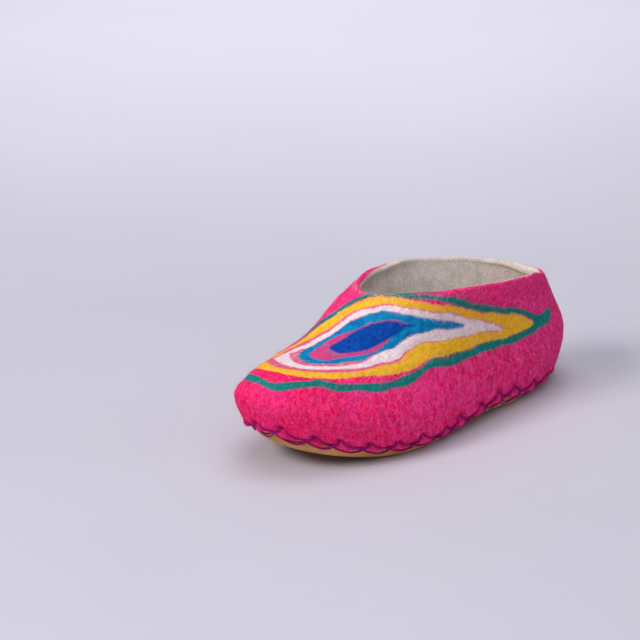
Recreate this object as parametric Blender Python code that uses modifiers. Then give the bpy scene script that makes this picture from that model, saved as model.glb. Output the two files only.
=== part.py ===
"""Felted wool slipper for the left foot.

A seamless felted upper with its own felt bottom, a loose felt insole inside it,
and a leather outsole that wraps up round the bottom edge, where it is stitched on.

Frame: metres, +Z up, floor at Z = 0. The toe points to -Y, and the wearer's outer
side is +X. The origin is on the floor, under the middle of the slipper's box.
"""

from collections import namedtuple

import bmesh
import bpy
import numpy as np

MM = 0.001

# ---------------------------------------------------------------- driving sizes
LENGTH = 262 * MM  # toe to heel, outside the felt
WALL = 5 * MM  # felt of the upper, all round
LEATHER = 2 * MM  # outsole
INSOLE = 4 * MM
GAP = 0.3 * MM  # left between two pieces that touch
RIM_ROUND = 1.9 * MM  # rounding of the collar's edge
EDGE_ROUND = 0.6 * MM  # rounding of the outsole's and the insole's edges
INSOLE_SHARE = 0.96  # the insole's outline, as a share of the felt's flat bottom

# How far the underside stands off the floor, by share of the length from the toe.
TOE_SPRING = 20.5 * MM
SPRING_END = 0.36  # the forefoot's flat spot starts here
ARCH_RISE = 2.5 * MM
ARCH_START, ARCH_END = 0.50, 0.76
HEEL_RISE = 4 * MM
HEEL_RISE_START = 0.86  # the heel's flat spot ends here

# Half width of the foot's outline at each station, as a share of the felt line's own.
Station = namedtuple("Station", "along outer inner")
FOOT_OUTLINE = (
    Station(0.00, 0.87, 0.97),
    Station(0.15, 0.95, 1.01),
    Station(0.35, 1.00, 0.98),
    Station(0.55, 0.82, 0.85),
    Station(0.75, 0.73, 0.77),
    Station(0.90, 0.76, 0.76),
    Station(1.00, 0.72, 0.72),
)

# The closed lines that the felt runs through, from the floor up to the collar's edge.
# Their ends along Y, half widths and heights over the underside are in millimetres,
# "square" is the outline's exponent (2 is an oval), and "foot" says how far a line
# follows FOOT_OUTLINE, from 0 to 1.
Line = namedtuple(
    "Line",
    "name toe heel outer inner square_toe square_heel foot z_toe z_outer z_heel z_inner",
)
FELT_LINES = (
    Line("floor", -100, 112, 41.5, 38, 2.3, 2.3, 1.0, 2.3, 2.3, 2.3, 2.3),
    Line("widest", -131, 131, 51, 51, 2.35, 2.5, 1.0, 26.5, 25, 27, 24),
    Line("toe_box", -123, 124, 43, 41, 2.4, 2.3, 0.9, 37.5, 47, 51, 47),
    Line("instep", -77, 118, 35, 40, 2.2, 2.2, 0.5, 57.5, 66, 63, 67),
    Line("collar", -35, 112, 36, 38, 2.0, 2.0, 0.0, 86, 82.5, 70, 81),
)
FLOOR_LINE = FELT_LINES[0]

# How far up its rib the felt is wrapped in leather, by share of the length from the toe:
# 0 is the floor line, and 1 the widest line.
Edge = namedtuple("Edge", "along up")
LEATHER_TOP = (
    Edge(0.00, 0.50),
    Edge(0.06, 0.43),
    Edge(0.14, 0.36),
    Edge(0.21, 0.30),
    Edge(0.29, 0.26),
    Edge(0.44, 0.19),
    Edge(0.52, 0.17),
    Edge(0.60, 0.20),
    Edge(0.84, 0.20),
    Edge(1.00, 0.22),
)
EDGE_SEEN_AT = 0.3  # the place on a rib whose share of the length the table is read at

# How far the collar's edge stands over its line, in millimetres, every thirty degrees
# from the toe by the outer side.
COLLAR_RISE = (1.4, 2.3, 1.4, -2.8, 0.2, -0.3, 0.7, 2.1, 1.3, -0.1, -0.5, 0.4)

# ---------------------------------------------------------------- mesh resolution
ROUND_STEPS = 72  # points round each line
BOTTOM_STEPS = 3  # rows from the middle of the bottom out to the floor line
WRAPPED_STEPS = 3  # rows from the floor line to the leather's edge
BARE_STEPS = 3  # rows from there to the widest line
SPAN_STEPS = 4  # rows between one line and the next above that
SPINE_SHARE = 0.7  # length of the bottom's middle line, as a share of the floor line's
FLOOR_RISE = 0.15  # how steeply the felt leaves the floor line
FLOOR_PULL = 1.1  # how far it runs on outwards there
CHORD_POWER = 0.75  # spacing of the lines along a rib, between even and by distance

Material = namedtuple("Material", "name colour roughness")
PINK_FELT = Material("pink_felt", (0.78, 0.06, 0.24), 0.95)
CREAM_FELT = Material("cream_felt", (0.72, 0.68, 0.60), 0.95)
TAN_LEATHER = Material("tan_leather", (0.62, 0.36, 0.13), 0.6)


# ---------------------------------------------------------------- the felt's form
def smooth_table(at, places, values):
    """A smooth curve through a table, by cubic pieces."""
    places, values = np.asarray(places, float), np.asarray(values, float)
    slopes = np.gradient(values, places)
    at = np.clip(at, places[0], places[-1])
    i = np.clip(np.searchsorted(places, at, side="right") - 1, 0, len(places) - 2)
    span = places[i + 1] - places[i]
    return hermite((at - places[i]) / span, values[i], values[i + 1], slopes[i] * span, slopes[i + 1] * span)


def hermite(s, start, end, slope_start, slope_end):
    """The cubic from start to end with these slopes, at s from 0 to 1."""
    return (
        (2 * s**3 - 3 * s**2 + 1) * start
        + (s**3 - 2 * s**2 + s) * slope_start
        + (3 * s**2 - 2 * s**3) * end
        + (s**3 - s**2) * slope_end
    )


def share_along(y):
    """0 at the toe and 1 at the heel."""
    return y / LENGTH + 0.5


def underside(y):
    """Height of the leather's underside over the floor."""
    along = share_along(y)
    toe = np.clip(1 - along / SPRING_END, 0, 1)
    arch = np.clip((along - ARCH_START) / (ARCH_END - ARCH_START), 0, 1)
    heel = np.clip((along - HEEL_RISE_START) / (1 - HEEL_RISE_START), 0, 1)
    return TOE_SPRING * toe**2 + ARCH_RISE * np.sin(np.pi * arch) ** 2 + HEEL_RISE * heel**2


def felt_line(line, angle):
    """Points of one closed line. The angle is 0 at the toe and a quarter turn at the outer side."""
    cos, sin = np.cos(angle), np.sin(angle)
    power = 2 / np.where(cos > 0, line.square_toe, line.square_heel)
    forward = np.sign(cos) * np.abs(cos) ** power
    sideways = np.sign(sin) * np.abs(sin) ** power
    y = ((line.toe + line.heel) / 2 - (line.heel - line.toe) / 2 * forward) * MM
    stations = [station.along for station in FOOT_OUTLINE]
    half_width = np.where(sin > 0, line.outer, line.inner) * MM
    for side, is_side in (("outer", sin > 0), ("inner", sin <= 0)):
        shares = [getattr(station, side) for station in FOOT_OUTLINE]
        outline = smooth_table(share_along(y), stations, shares)
        half_width = np.where(is_side, half_width * (1 + line.foot * (outline - 1)), half_width)
    mean = (line.z_toe + line.z_outer + line.z_heel + line.z_inner) / 4
    ends_over_sides = (line.z_toe - line.z_outer + line.z_heel - line.z_inner) / 4
    z = (
        mean
        + (line.z_toe - line.z_heel) / 2 * cos
        + ends_over_sides * np.cos(2 * angle)
        + (line.z_outer - line.z_inner) / 2 * sin
    ) * MM
    return np.stack([half_width * sideways, y, z + underside(y)], axis=-1)


def rib_slopes(lines, spans):
    """Slope of each rib, the curve from the floor line to the collar, where it meets each line."""
    slopes = np.zeros_like(lines)
    for k in range(1, len(lines) - 1):
        before = (lines[k] - lines[k - 1]) / spans[k - 1]
        after = (lines[k + 1] - lines[k]) / spans[k]
        share = spans[k] / (spans[k] + spans[k - 1])
        slopes[k] = before * share + after * (1 - share)
    outward = lines[1] - lines[0]
    reach = np.linalg.norm(outward, axis=-1, keepdims=True) / spans[0]
    outward = outward * (1, 1, FLOOR_RISE)
    slopes[0] = outward / np.linalg.norm(outward, axis=-1, keepdims=True) * reach * FLOOR_PULL
    slopes[-1] = 2 * (lines[-1] - lines[-2]) / spans[-1] - slopes[-2]
    return slopes


def bottom_rows(floor_line):
    """Rows from the middle line of the bottom out to the floor line, which is left out."""
    middle = (floor_line[:, 1].max() + floor_line[:, 1].min()) / 2
    spine = floor_line * (0, SPINE_SHARE, 0) + (0, middle * (1 - SPINE_SHARE), 0)
    rows = []
    for step in range(BOTTOM_STEPS):
        row = spine + (floor_line - spine) * step / BOTTOM_STEPS
        row[:, 2] = underside(row[:, 1]) + FLOOR_LINE.z_toe * MM
        rows.append(row)
    return rows


def collar_rise(angle):
    """How far the collar's edge stands over its line, by a smooth closed curve through the table."""
    rises = np.array(COLLAR_RISE) * MM
    at = angle / (2 * np.pi) * len(rises)
    k = at.astype(int)
    before, here, after, beyond = (rises[(k + n) % len(rises)] for n in (-1, 0, 1, 2))
    return hermite(at - k, here, after, (after - before) / 2, (beyond - here) / 2)


def felt_rows():
    """The felt's outer skin as rows of points, from the middle of the bottom to the collar."""
    angle = np.arange(ROUND_STEPS) * 2 * np.pi / ROUND_STEPS
    lines = np.array([felt_line(line, angle) for line in FELT_LINES])
    spans = np.linalg.norm(np.diff(lines, axis=0), axis=-1, keepdims=True) ** CHORD_POWER
    slopes = rib_slopes(lines, spans)

    def row(k, share):
        """Points at this share of the way from line k to the next."""
        return hermite(share, lines[k], lines[k + 1], slopes[k] * spans[k], slopes[k + 1] * spans[k])

    along = share_along(row(0, EDGE_SEEN_AT)[:, 1])
    edge = smooth_table(along, *zip(*LEATHER_TOP))[:, None]
    rows = bottom_rows(lines[0])
    rows += [row(0, edge * step / WRAPPED_STEPS) for step in range(WRAPPED_STEPS)]
    rows += [row(0, edge + (1 - edge) * step / BARE_STEPS) for step in range(BARE_STEPS)]
    for k in range(1, len(lines) - 1):
        rows += [row(k, step / SPAN_STEPS) for step in range(SPAN_STEPS)]
    rows = np.array(rows + [lines[-1]])
    rise = collar_rise(angle)
    for step in range(SPAN_STEPS + 1):
        rows[step - SPAN_STEPS - 1, :, 2] += rise * hermite(step / SPAN_STEPS, 0, 1, 0, 0)
    return rows


def insole_rows():
    """The felt's bottom drawn in to the insole's outline."""
    angle = np.arange(ROUND_STEPS) * 2 * np.pi / ROUND_STEPS
    outline = felt_line(FLOOR_LINE, angle)
    middle = (FLOOR_LINE.toe + FLOOR_LINE.heel) / 2 * MM
    outline[:, :2] = (outline[:, :2] - (0, middle)) * INSOLE_SHARE + (0, middle)
    outline[:, 2] = underside(outline[:, 1]) + FLOOR_LINE.z_toe * MM
    return np.array(bottom_rows(outline) + [outline])


# ---------------------------------------------------------------- Blender objects
def clear_scene():
    """Remove whatever the scene holds."""
    for thing in list(bpy.data.objects):
        bpy.data.objects.remove(thing, do_unlink=True)
    for mesh in list(bpy.data.meshes):
        bpy.data.meshes.remove(mesh)


def principled(choice):
    """A plain Principled material."""
    material = bpy.data.materials.new(choice.name)
    material.use_nodes = True
    shader = material.node_tree.nodes["Principled BSDF"]
    shader.inputs["Base Color"].default_value = (*choice.colour, 1)
    shader.inputs["Roughness"].default_value = choice.roughness
    return material


def sheet(name, rows, moved_out, choice, collection):
    """One open sheet through rows of points, moved along its normals.

    The two halves of the first row are the same points, so that the sheet closes
    along the bottom's middle line. Its faces look outwards.
    """
    mesh = bpy.data.meshes.new(name)
    form = bmesh.new()
    grid = [[form.verts.new(point) for point in row] for row in rows]
    count = len(grid[0])
    for inner, outer in zip(grid, grid[1:]):
        for j in range(count):
            k = (j + 1) % count
            form.faces.new((inner[j], inner[k], outer[k], outer[j]))
    bmesh.ops.remove_doubles(form, verts=form.verts[:], dist=1e-6)
    form.normal_update()
    for vert in form.verts:
        vert.co += vert.normal * moved_out
    for face in form.faces:
        face.smooth = True
    form.to_mesh(mesh)
    form.free()
    thing = bpy.data.objects.new(name, mesh)
    thing.data.materials.append(principled(choice))
    collection.objects.link(thing)
    return thing


def thicken(thing, thickness, side):
    """Give the sheet its thickness, outwards for side 1 and inwards for side -1."""
    solid = thing.modifiers.new("Thickness", "SOLIDIFY")
    solid.thickness = thickness
    solid.offset = side
    solid.use_even_offset = True
    solid.use_rim = True


def round_edges(thing, width, segments):
    """Round the edges left by the thickness."""
    bevel = thing.modifiers.new("Rounding", "BEVEL")
    bevel.width = width
    bevel.segments = segments
    bevel.limit_method = "ANGLE"
    bevel.angle_limit = np.radians(50)
    bevel.use_clamp_overlap = True


def build_upper(collection):
    """The seamless felt shell, closed underneath and open at the collar."""
    upper = sheet("upper", felt_rows(), 0, PINK_FELT, collection)
    thicken(upper, WALL, -1)
    round_edges(upper, RIM_ROUND, 3)
    return upper


def build_outsole(collection):
    """The leather under the felt, wrapped up round its bottom edge."""
    rows = felt_rows()[: BOTTOM_STEPS + WRAPPED_STEPS + 1]
    outsole = sheet("outsole", rows, GAP, TAN_LEATHER, collection)
    thicken(outsole, LEATHER, 1)
    round_edges(outsole, EDGE_ROUND, 2)
    return outsole


def build_insole(collection):
    """The felt insole that lies on the upper's own bottom."""
    insole = sheet("insole", insole_rows(), -(WALL + GAP), CREAM_FELT, collection)
    thicken(insole, INSOLE, -1)
    round_edges(insole, EDGE_ROUND, 2)
    return insole


def main():
    """Build the slipper."""
    clear_scene()
    collection = bpy.data.collections.new("felted_wool_slipper")
    bpy.context.scene.collection.children.link(collection)
    build_upper(collection)
    build_outsole(collection)
    build_insole(collection)


main()
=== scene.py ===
"""Felted wool slipper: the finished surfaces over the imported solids.

Laid out as a Blender add-on and run as a script. Each operator makes one piece:
the felted shell, the insole, the leather outsole, its cross-stitching, the loose
wool fibres, and the stage. Lengths are in metres, the toe points to -Y, and the
wearer's outer side is +X.
"""

import math
from collections import namedtuple
from functools import lru_cache

import bpy
import numpy as np
from bpy.props import FloatProperty, FloatVectorProperty, IntProperty, PointerProperty
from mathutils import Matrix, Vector, noise


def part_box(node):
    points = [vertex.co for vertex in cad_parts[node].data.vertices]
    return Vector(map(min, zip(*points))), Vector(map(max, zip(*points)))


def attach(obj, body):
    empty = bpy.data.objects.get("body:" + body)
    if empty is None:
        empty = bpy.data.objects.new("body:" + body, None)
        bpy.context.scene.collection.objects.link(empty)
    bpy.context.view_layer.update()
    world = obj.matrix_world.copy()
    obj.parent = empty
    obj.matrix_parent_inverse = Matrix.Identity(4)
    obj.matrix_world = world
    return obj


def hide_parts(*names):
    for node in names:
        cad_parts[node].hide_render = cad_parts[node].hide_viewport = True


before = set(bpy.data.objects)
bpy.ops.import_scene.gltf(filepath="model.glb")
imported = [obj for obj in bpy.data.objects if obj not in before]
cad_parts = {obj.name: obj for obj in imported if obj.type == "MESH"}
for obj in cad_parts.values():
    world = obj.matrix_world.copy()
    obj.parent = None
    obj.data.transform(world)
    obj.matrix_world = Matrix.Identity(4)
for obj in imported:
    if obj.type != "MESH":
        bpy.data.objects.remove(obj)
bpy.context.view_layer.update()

bl_info = {
    "name": "Felted Wool Slipper",
    "version": (1, 0, 0),
    "blender": (4, 5, 0),
    "location": "View3D > Sidebar > Slipper",
    "description": "Builds a felted wool slipper with felted rings and a stitched leather outsole",
    "category": "Add Mesh",
}

MM = 0.001
TINY = 1e-12  # keeps a division off zero
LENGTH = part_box("upper")[1].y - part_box("upper")[0].y
BODY = "root"

# ---------------------------------------------------------------- the slipper's form
# How far the underside stands off the floor, by share of the length from the toe.
TOE_SPRING = 20.5 * MM
SPRING_END = 0.36
ARCH_RISE = 2.5 * MM
ARCH_START, ARCH_END = 0.50, 0.76
HEEL_RISE = 4 * MM
HEEL_RISE_START = 0.86

# Half width of the foot's outline at each station, as a share of the felt line's own.
Station = namedtuple("Station", "along outer inner")
FOOT_OUTLINE = (
    Station(0.00, 0.87, 0.97),
    Station(0.15, 0.95, 1.01),
    Station(0.35, 1.00, 0.98),
    Station(0.55, 0.82, 0.85),
    Station(0.75, 0.73, 0.77),
    Station(0.90, 0.76, 0.76),
    Station(1.00, 0.72, 0.72),
)

# The closed lines that the felt runs through, from the floor up to the collar's edge.
# Their ends along Y, half widths and heights over the underside are in millimetres.
Line = namedtuple(
    "Line",
    "name toe heel outer inner square_toe square_heel foot z_toe z_outer z_heel z_inner",
)
FELT_LINES = (
    Line("floor", -100, 112, 41.5, 38, 2.3, 2.3, 1.0, 2.3, 2.3, 2.3, 2.3),
    Line("widest", -131, 131, 51, 51, 2.35, 2.5, 1.0, 26.5, 25, 27, 24),
    Line("toe_box", -123, 124, 43, 41, 2.4, 2.3, 0.9, 37.5, 47, 51, 47),
    Line("instep", -77, 118, 35, 40, 2.2, 2.2, 0.5, 57.5, 66, 63, 67),
    Line("collar", -35, 112, 36, 38, 2.0, 2.0, 0.0, 86, 82.5, 70, 81),
)
COLLAR = len(FELT_LINES) - 1
SPINE_SHARE = 0.7  # length of the bottom's middle line, as a share of the floor line's
FLOOR_RISE = 0.15  # how steeply the felt leaves the floor line
FLOOR_PULL = 1.1  # how far it runs on outwards there
CHORD_POWER = 0.75  # spacing of the lines along a rib
GAP = 0.3 * MM  # between the leather and the felt, and under the insole

# How far up its rib the felt is wrapped in leather, by share of the length from the toe.
LEATHER_TOP = (
    (0.0, 0.50), (0.06, 0.43), (0.14, 0.36), (0.21, 0.30), (0.29, 0.26), (0.37, 0.21),
    (0.44, 0.19), (0.52, 0.17), (0.60, 0.20), (0.72, 0.22), (0.84, 0.20), (0.93, 0.20), (1.0, 0.22),
)
USUAL_TOP = 0.3  # where up its rib the length from the toe is taken for that table
LEATHER_SKIVED = 1.1 * MM  # the leather's thickness at its pared edge

# How far the collar's edge stands over its line, every thirty degrees from the toe by the
# outer side, and how thick the felt is there, both in millimetres.
COLLAR_RISE = (1.4, 2.3, 0.8, -2.8, 0.2, -0.3, -0.7, 1.5, 1.6, 0.0, 1.7, 1.0)
COLLAR_WALL = (5.0, 4.8, 4.8, 4.8, 5.8, 7.2, 7.4, 6.6, 5.8, 5.4, 6.2, 6.4)
SHOULDER = (0, 0, 0, 0, 0, 0.3, 0.5, 0.3, 0, 0.4, 1.8, 2.0)  # how far it swells under the edge

# Spacing of the stitches by hand, in millimetres, from the toe by the outer side.
STITCH_STEPS = (
    15, 20, 16, 20, 19, 18, 21, 17, 16, 19, 18, 21, 19, 17, 20,
    19, 18, 20, 17, 19, 21, 18, 17, 20, 16, 19, 20, 18, 17, 20,
)
INSOLE_SHARE = 0.96  # the insole's outline, as a share of the felt's flat bottom

# ---------------------------------------------------------------- the felted rings
# The rings are charted as if the felt were laid out flat round their middle. "back" runs
# from there towards the heel, and "down" over the outer side towards the floor, both in
# millimetres. Each ring is a closed curve through its points, which go down the outer
# side from the toe to the tail and come back along the top and the inner side.
RING_MIDDLE = Vector((10, -61, 65.5)) * MM
RING_FACING = Vector((0.45, -0.35, 0.82)).normalized()
RING_BACK = Vector((0.25, 1.0, 0.0))

RINGS = {
    "teal": (
        (-66, -4.5), (-67, 1.5), (-64.5, 12), (-63, 17), (-61, 20.5), (-56.5, 23.5), (-46, 26),
        (-36, 28), (-28, 31.5), (-23.5, 33), (-11, 34.5), (-4.5, 36), (2.5, 37), (8, 36.5),
        (19.5, 36.5), (28, 33.5), (33, 31.5), (37.5, 29.5), (42, 28), (47.5, 27.5), (58.5, 26.5),
        (64.5, 25), (74.5, 21.5), (79, 20), (84.5, 18.5), (94, 15.5), (104, 13.5), (108.5, 11.5),
        (119.5, 9), (126, 7), (132.5, 4.5), (138.5, 2), (144, 0), (149.5, -3), (159, -7), (164, -10.5),
        (167, -15.5), (165.5, -17), (161, -15), (157.5, -12.5), (151.5, -10), (146, -9.5),
        (134, -9.5), (128, -8.5), (122, -8), (114.5, -6.5), (108.5, -6), (101.5, -5), (97.5, -5),
        (93.5, -4), (82.5, -3.5), (74, -3.5), (65.5, -4), (57, -5.5), (48, -7.5), (41, -10),
        (35.5, -12.5), (30, -15.5), (26.5, -18), (24, -20.5), (22.5, -23.5), (17, -26),
        (11.5, -27.5), (6, -27), (2.5, -28.5), (-0.5, -29.5), (-1, -30.5), (-8, -33.5),
        (-20, -34.5), (-32, -32), (-43, -27.5), (-52, -21), (-60, -13),
    ),
    "teal_inner": (
        (-62.5, -6), (-63, -1.5), (-62.5, 3.5), (-60.5, 14), (-57.5, 17.5), (-54, 19.5),
        (-41.5, 23), (-35.5, 23.5), (-31.5, 25.5), (-27, 27.5), (-22, 29.5), (-15, 30.5),
        (-8, 31.5), (-1.5, 32.5), (4.5, 33), (9.5, 33), (16.5, 32), (23, 31), (30.5, 29),
        (36.5, 27), (43, 24), (46.5, 23), (56.5, 22), (60.5, 21), (66.5, 19), (77.5, 17),
        (85.5, 14), (97, 11), (102.5, 9.5), (110.5, 8), (117.5, 6), (124, 4), (131, 1.5),
        (137, -0.5), (142.5, -3), (146.5, -5.5), (142.5, -7), (132, -7.5), (123.5, -6), (116, -5),
        (108.5, -4), (101.5, -3.5), (95, -2.5), (87.5, -2), (80, -2), (74.5, -2), (65, -2.5),
        (56, -4.5), (51.5, -5), (43, -7.5), (32, -14), (25, -19), (19, -22), (13.5, -24), (2, -25),
        (-3, -26), (-8, -28), (-20, -30), (-31, -28), (-41, -23.5), (-50, -17), (-57, -11),
    ),
    "yellow": (
        (-56.5, -9), (-56, -1), (-54.5, 3), (-49.5, 12), (-46.5, 15.5), (-42.5, 18.5),
        (-36.5, 21.5), (-30.5, 23.5), (-23.5, 25.5), (-16.5, 26.5), (-9.5, 27), (-2.5, 27.5),
        (7, 29), (18, 29), (25.5, 28.5), (37.5, 25), (42, 23.5), (46.5, 22.5), (56, 21.5),
        (67, 18.5), (77.5, 16.5), (85.5, 13.5), (97, 11), (102.5, 9.5), (110.5, 8), (117.5, 6),
        (124, 3.5), (131, 1.5), (137.5, -1), (142.5, -3), (145.5, -5.5), (138, -6.5), (132, -7),
        (124, -6), (116.5, -4.5), (108.5, -3.5), (101.5, -3), (94.5, -2), (87.5, -1.5), (80, -1.5),
        (74.5, -1.5), (69, -1.5), (60, -1.5), (52.5, -3), (43.5, -6), (35, -11.5), (28, -16.5),
        (21.5, -20), (16, -22), (10, -24), (2, -24.5), (-3, -25.5), (-9, -27), (-17, -27.5),
        (-25, -26), (-34, -22.5), (-43, -18.5), (-51, -13.5),
    ),
    "pale_line": (
        (-49.5, -11.5), (-49, -7.5), (-49.5, -1), (-48, 4), (-45, 8), (-41, 11.5), (-37, 14.5),
        (-28, 19), (-21.5, 21), (-14.5, 22.5), (-7.5, 23.5), (-0.5, 23.5), (7.5, 23), (14, 23),
        (21.5, 22), (29.5, 17.5), (39.5, 14), (43.5, 13.5), (50.5, 14), (63.5, 12), (71.5, 11),
        (81, 9.5), (85.5, 8), (95.5, 6.5), (100.5, 5.5), (106, 5), (115.5, 2), (106, 1), (96.5, 1),
        (91.5, 1), (82.5, 1.5), (78, 1.5), (66, 0.5), (56.5, 1), (51, 0), (40.5, -3), (34.5, -6.5),
        (28.5, -10.5), (19, -14.5), (11, -17.5), (8, -18), (1.5, -17.5), (-5.5, -17), (-8.5, -18),
        (-16, -18.5), (-23, -20.5), (-28.5, -20), (-34.5, -17.5), (-39, -15), (-45, -14),
    ),
    "pale": (
        (-43, -13), (-44, -2.5), (-43, 2.5), (-40, 7), (-32, 13.5), (-26, 16), (-20, 18), (-13, 20),
        (-6.5, 21), (0.5, 21.5), (8.5, 21), (16.5, 21), (22.5, 20), (27, 17.5), (33, 15.5),
        (40, 13.5), (43.5, 13), (51, 13.5), (63.5, 12), (72, 10.5), (81, 9), (90.5, 7), (100.5, 5),
        (111, 3.5), (114, 2.5), (106, 1.5), (101, 1.5), (92, 1.5), (87, 1.5), (78, 2), (66, 1),
        (56.5, 1.5), (50.5, 0.5), (43.5, -1.5), (40, -2.5), (34, -6), (28, -9.5), (21.5, -12),
        (16, -14.5), (10.5, -16), (0.5, -15.5), (-7, -15), (-10, -15.5), (-13, -16), (-17.5, -15.5),
        (-24, -16), (-31, -15.5), (-41, -13),
    ),
    "turquoise_line": (
        (-34, -12.5), (-36.5, -0.5), (-36, 3.5), (-34, 7), (-30, 10.5), (-24.5, 13.5), (-18.5, 16),
        (-12, 17.5), (-5, 18), (0.5, 17.5), (5, 16), (9.5, 14.5), (16, 13.5), (22, 13.5), (27.5, 11.5),
        (32.5, 10.5), (35, 9.5), (47.5, 8.5), (53, 7.5), (65, 7.5), (73, 6), (77.5, 5), (67, 4),
        (58, 4), (53.5, 4), (46, 2.5), (35.5, -1), (27.5, -6), (22.5, -8.5), (11, -11.5), (5, -12),
        (-2, -11), (-5.5, -11.5), (-9, -10.5), (-15.5, -11), (-22.5, -10.5), (-26, -12), (-30, -11),
        (-33, -11.5),
    ),
    "turquoise": (
        (-30, -6.5), (-31, 2.5), (-29, 6), (-25, 9), (-20, 12), (-13.5, 13.5), (-7, 14.5), (0, 16),
        (5.5, 14), (16, 13.5), (22, 13), (25, 12), (28, 11), (30.5, 10.5), (35.5, 9), (47.5, 8.5),
        (53, 7), (65, 7), (77, 5), (67, 4.5), (62.5, 4.5), (53.5, 4), (49.5, 3.5), (42, 1.5),
        (35.5, -0.5), (32, -2), (27.5, -5.5), (25, -7), (16.5, -9.5), (7.5, -11), (4.5, -11.5),
        (-2.5, -10.5), (-9.5, -10.5), (-16, -10), (-19.5, -9.5), (-23.5, -10),
    ),
    "core": (
        (-25, -3), (-25.5, 3), (-23, 6), (-19.5, 8.5), (-11, 10), (-2.5, 12), (7, 12.5), (13, 12),
        (21.5, 8.5), (26, 5.5), (35.5, 4.5), (31.5, 1.5), (26.5, -1), (15, -4), (11, -4.5),
        (4, -4.5), (-3.5, -6.5), (-11.5, -7), (-20, -5),
    ),
    "blue": (
        (-13, 0), (-10.5, 5), (-6.5, 7.5), (3, 9.5), (8, 10), (12.5, 9.5), (19, 8.5), (29.5, 6),
        (34, 5), (40, 5), (35, 4), (26.5, 0), (14.5, -3), (6.5, -3.5), (-3, -2.5), (-11, -2),
    ),
}
DOT_MIDDLE = Vector((-37.5, 10, 62)) * MM
DOT_RADIUS = 9.5 * MM
DOT_NARROWED = (1, 0.95, 1.05)  # distances from its middle are scaled by this along each axis
RING_SLOPE = 0.45  # how far a ring's curve follows the line between a point's two neighbours


# ---------------------------------------------------------------- what a user may change
def length(name, description, value):
    """A length property."""
    return FloatProperty(name=name, description=description, default=value, unit="LENGTH")


def colour(name, description, value):
    """A colour property."""
    return FloatVectorProperty(
        name=name, description=description, default=value, subtype="COLOR", size=3, min=0, max=1
    )


class SlipperForm(bpy.types.PropertyGroup):
    """Sizes of the slipper's layers."""

    wall: length("Felt Wall", "Thickness of the felt", 5 * MM)
    rim_height: length("Rim Height", "How tall the rounded collar edge is", 2.4 * MM)
    leather: length("Leather", "Thickness of the outsole", 2 * MM)
    insole: length("Insole", "Thickness of the insole", 4 * MM)
    lumps: length("Lumps", "Height of the felt's soft unevenness", 0.55 * MM)
    round_steps: IntProperty(name="Steps Round", description="Points round each row", default=448)


class SlipperStitching(bpy.types.PropertyGroup):
    """Sizes of the cross-stitching round the leather's edge."""

    reach: length("Reach", "From the leather's edge up to the holes in the felt", 8.5 * MM)
    pucker: length("Pucker", "How far the felt swells between two crossings", 2.4 * MM)
    sag: length("Sag", "How far the thread bows down over the leather between two crossings", 3.8 * MM)
    thread: length("Thread", "Thickness of the doubled thread", 1.35 * MM)


class SlipperColours(bpy.types.PropertyGroup):
    """Dyes of the wool, the thread and the leather."""

    pink: colour("Pink", "Main wool", (0.92, 0.007, 0.14))
    teal: colour("Teal", "Outermost ring", (0.008, 0.20, 0.185))
    yellow: colour("Yellow", "Broad ring", (0.94, 0.50, 0.012))
    pale: colour("Pale", "Whitish ring", (0.88, 0.71, 0.73))
    turquoise: colour("Turquoise", "Inner ring", (0.003, 0.25, 0.48))
    blue: colour("Blue", "Middle of the rings and the dot", (0.003, 0.06, 0.37))
    cream: colour("Cream", "Lining and insole", (0.80, 0.70, 0.62))
    leather: colour("Leather", "Outsole", (0.74, 0.35, 0.055))
    thread: colour("Thread", "Cross-stitching", (0.46, 0.004, 0.20))
    floor: colour("Floor", "Stage", (0.66, 0.64, 0.72))


# ---------------------------------------------------------------- form, as arrays
def hermite(s, start, end, slope_start, slope_end):
    """The cubic from start to end with these slopes, at s from 0 to 1."""
    return (
        (2 * s**3 - 3 * s**2 + 1) * start
        + (s**3 - 2 * s**2 + s) * slope_start
        + (3 * s**2 - 2 * s**3) * end
        + (s**3 - s**2) * slope_end
    )


def smooth_table(at, places, values):
    """A smooth curve through a table, by cubic pieces."""
    places, values = np.asarray(places, float), np.asarray(values, float)
    slopes = np.gradient(values, places)
    at = np.clip(at, places[0], places[-1])
    i = np.clip(np.searchsorted(places, at, side="right") - 1, 0, len(places) - 2)
    span = places[i + 1] - places[i]
    s = (at - places[i]) / span
    return hermite(s, values[i], values[i + 1], slopes[i] * span, slopes[i + 1] * span)


def smooth_step(value, low, high):
    """0 below low, 1 above high, and eased between."""
    s = np.clip((value - low) / (high - low), 0, 1)
    return s * s * (3 - 2 * s)


def bump_at(distance, width):
    """1 at no distance, fading out over about twice the width."""
    return np.exp(-((distance / width) ** 2))


def unit(vectors):
    """The same directions, each one long."""
    return vectors / np.linalg.norm(vectors, axis=-1, keepdims=True)


def underside(y):
    """Height of the leather's underside over the floor."""
    along = y / LENGTH + 0.5
    toe = np.clip(1 - along / SPRING_END, 0, 1)
    arch = np.clip((along - ARCH_START) / (ARCH_END - ARCH_START), 0, 1)
    heel = np.clip((along - HEEL_RISE_START) / (1 - HEEL_RISE_START), 0, 1)
    return TOE_SPRING * toe**2 + ARCH_RISE * np.sin(np.pi * arch) ** 2 + HEEL_RISE * heel**2


def underside_slope(y):
    """How steeply the underside rises towards the heel."""
    return (underside(y + MM) - underside(y - MM)) / (2 * MM)


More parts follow.
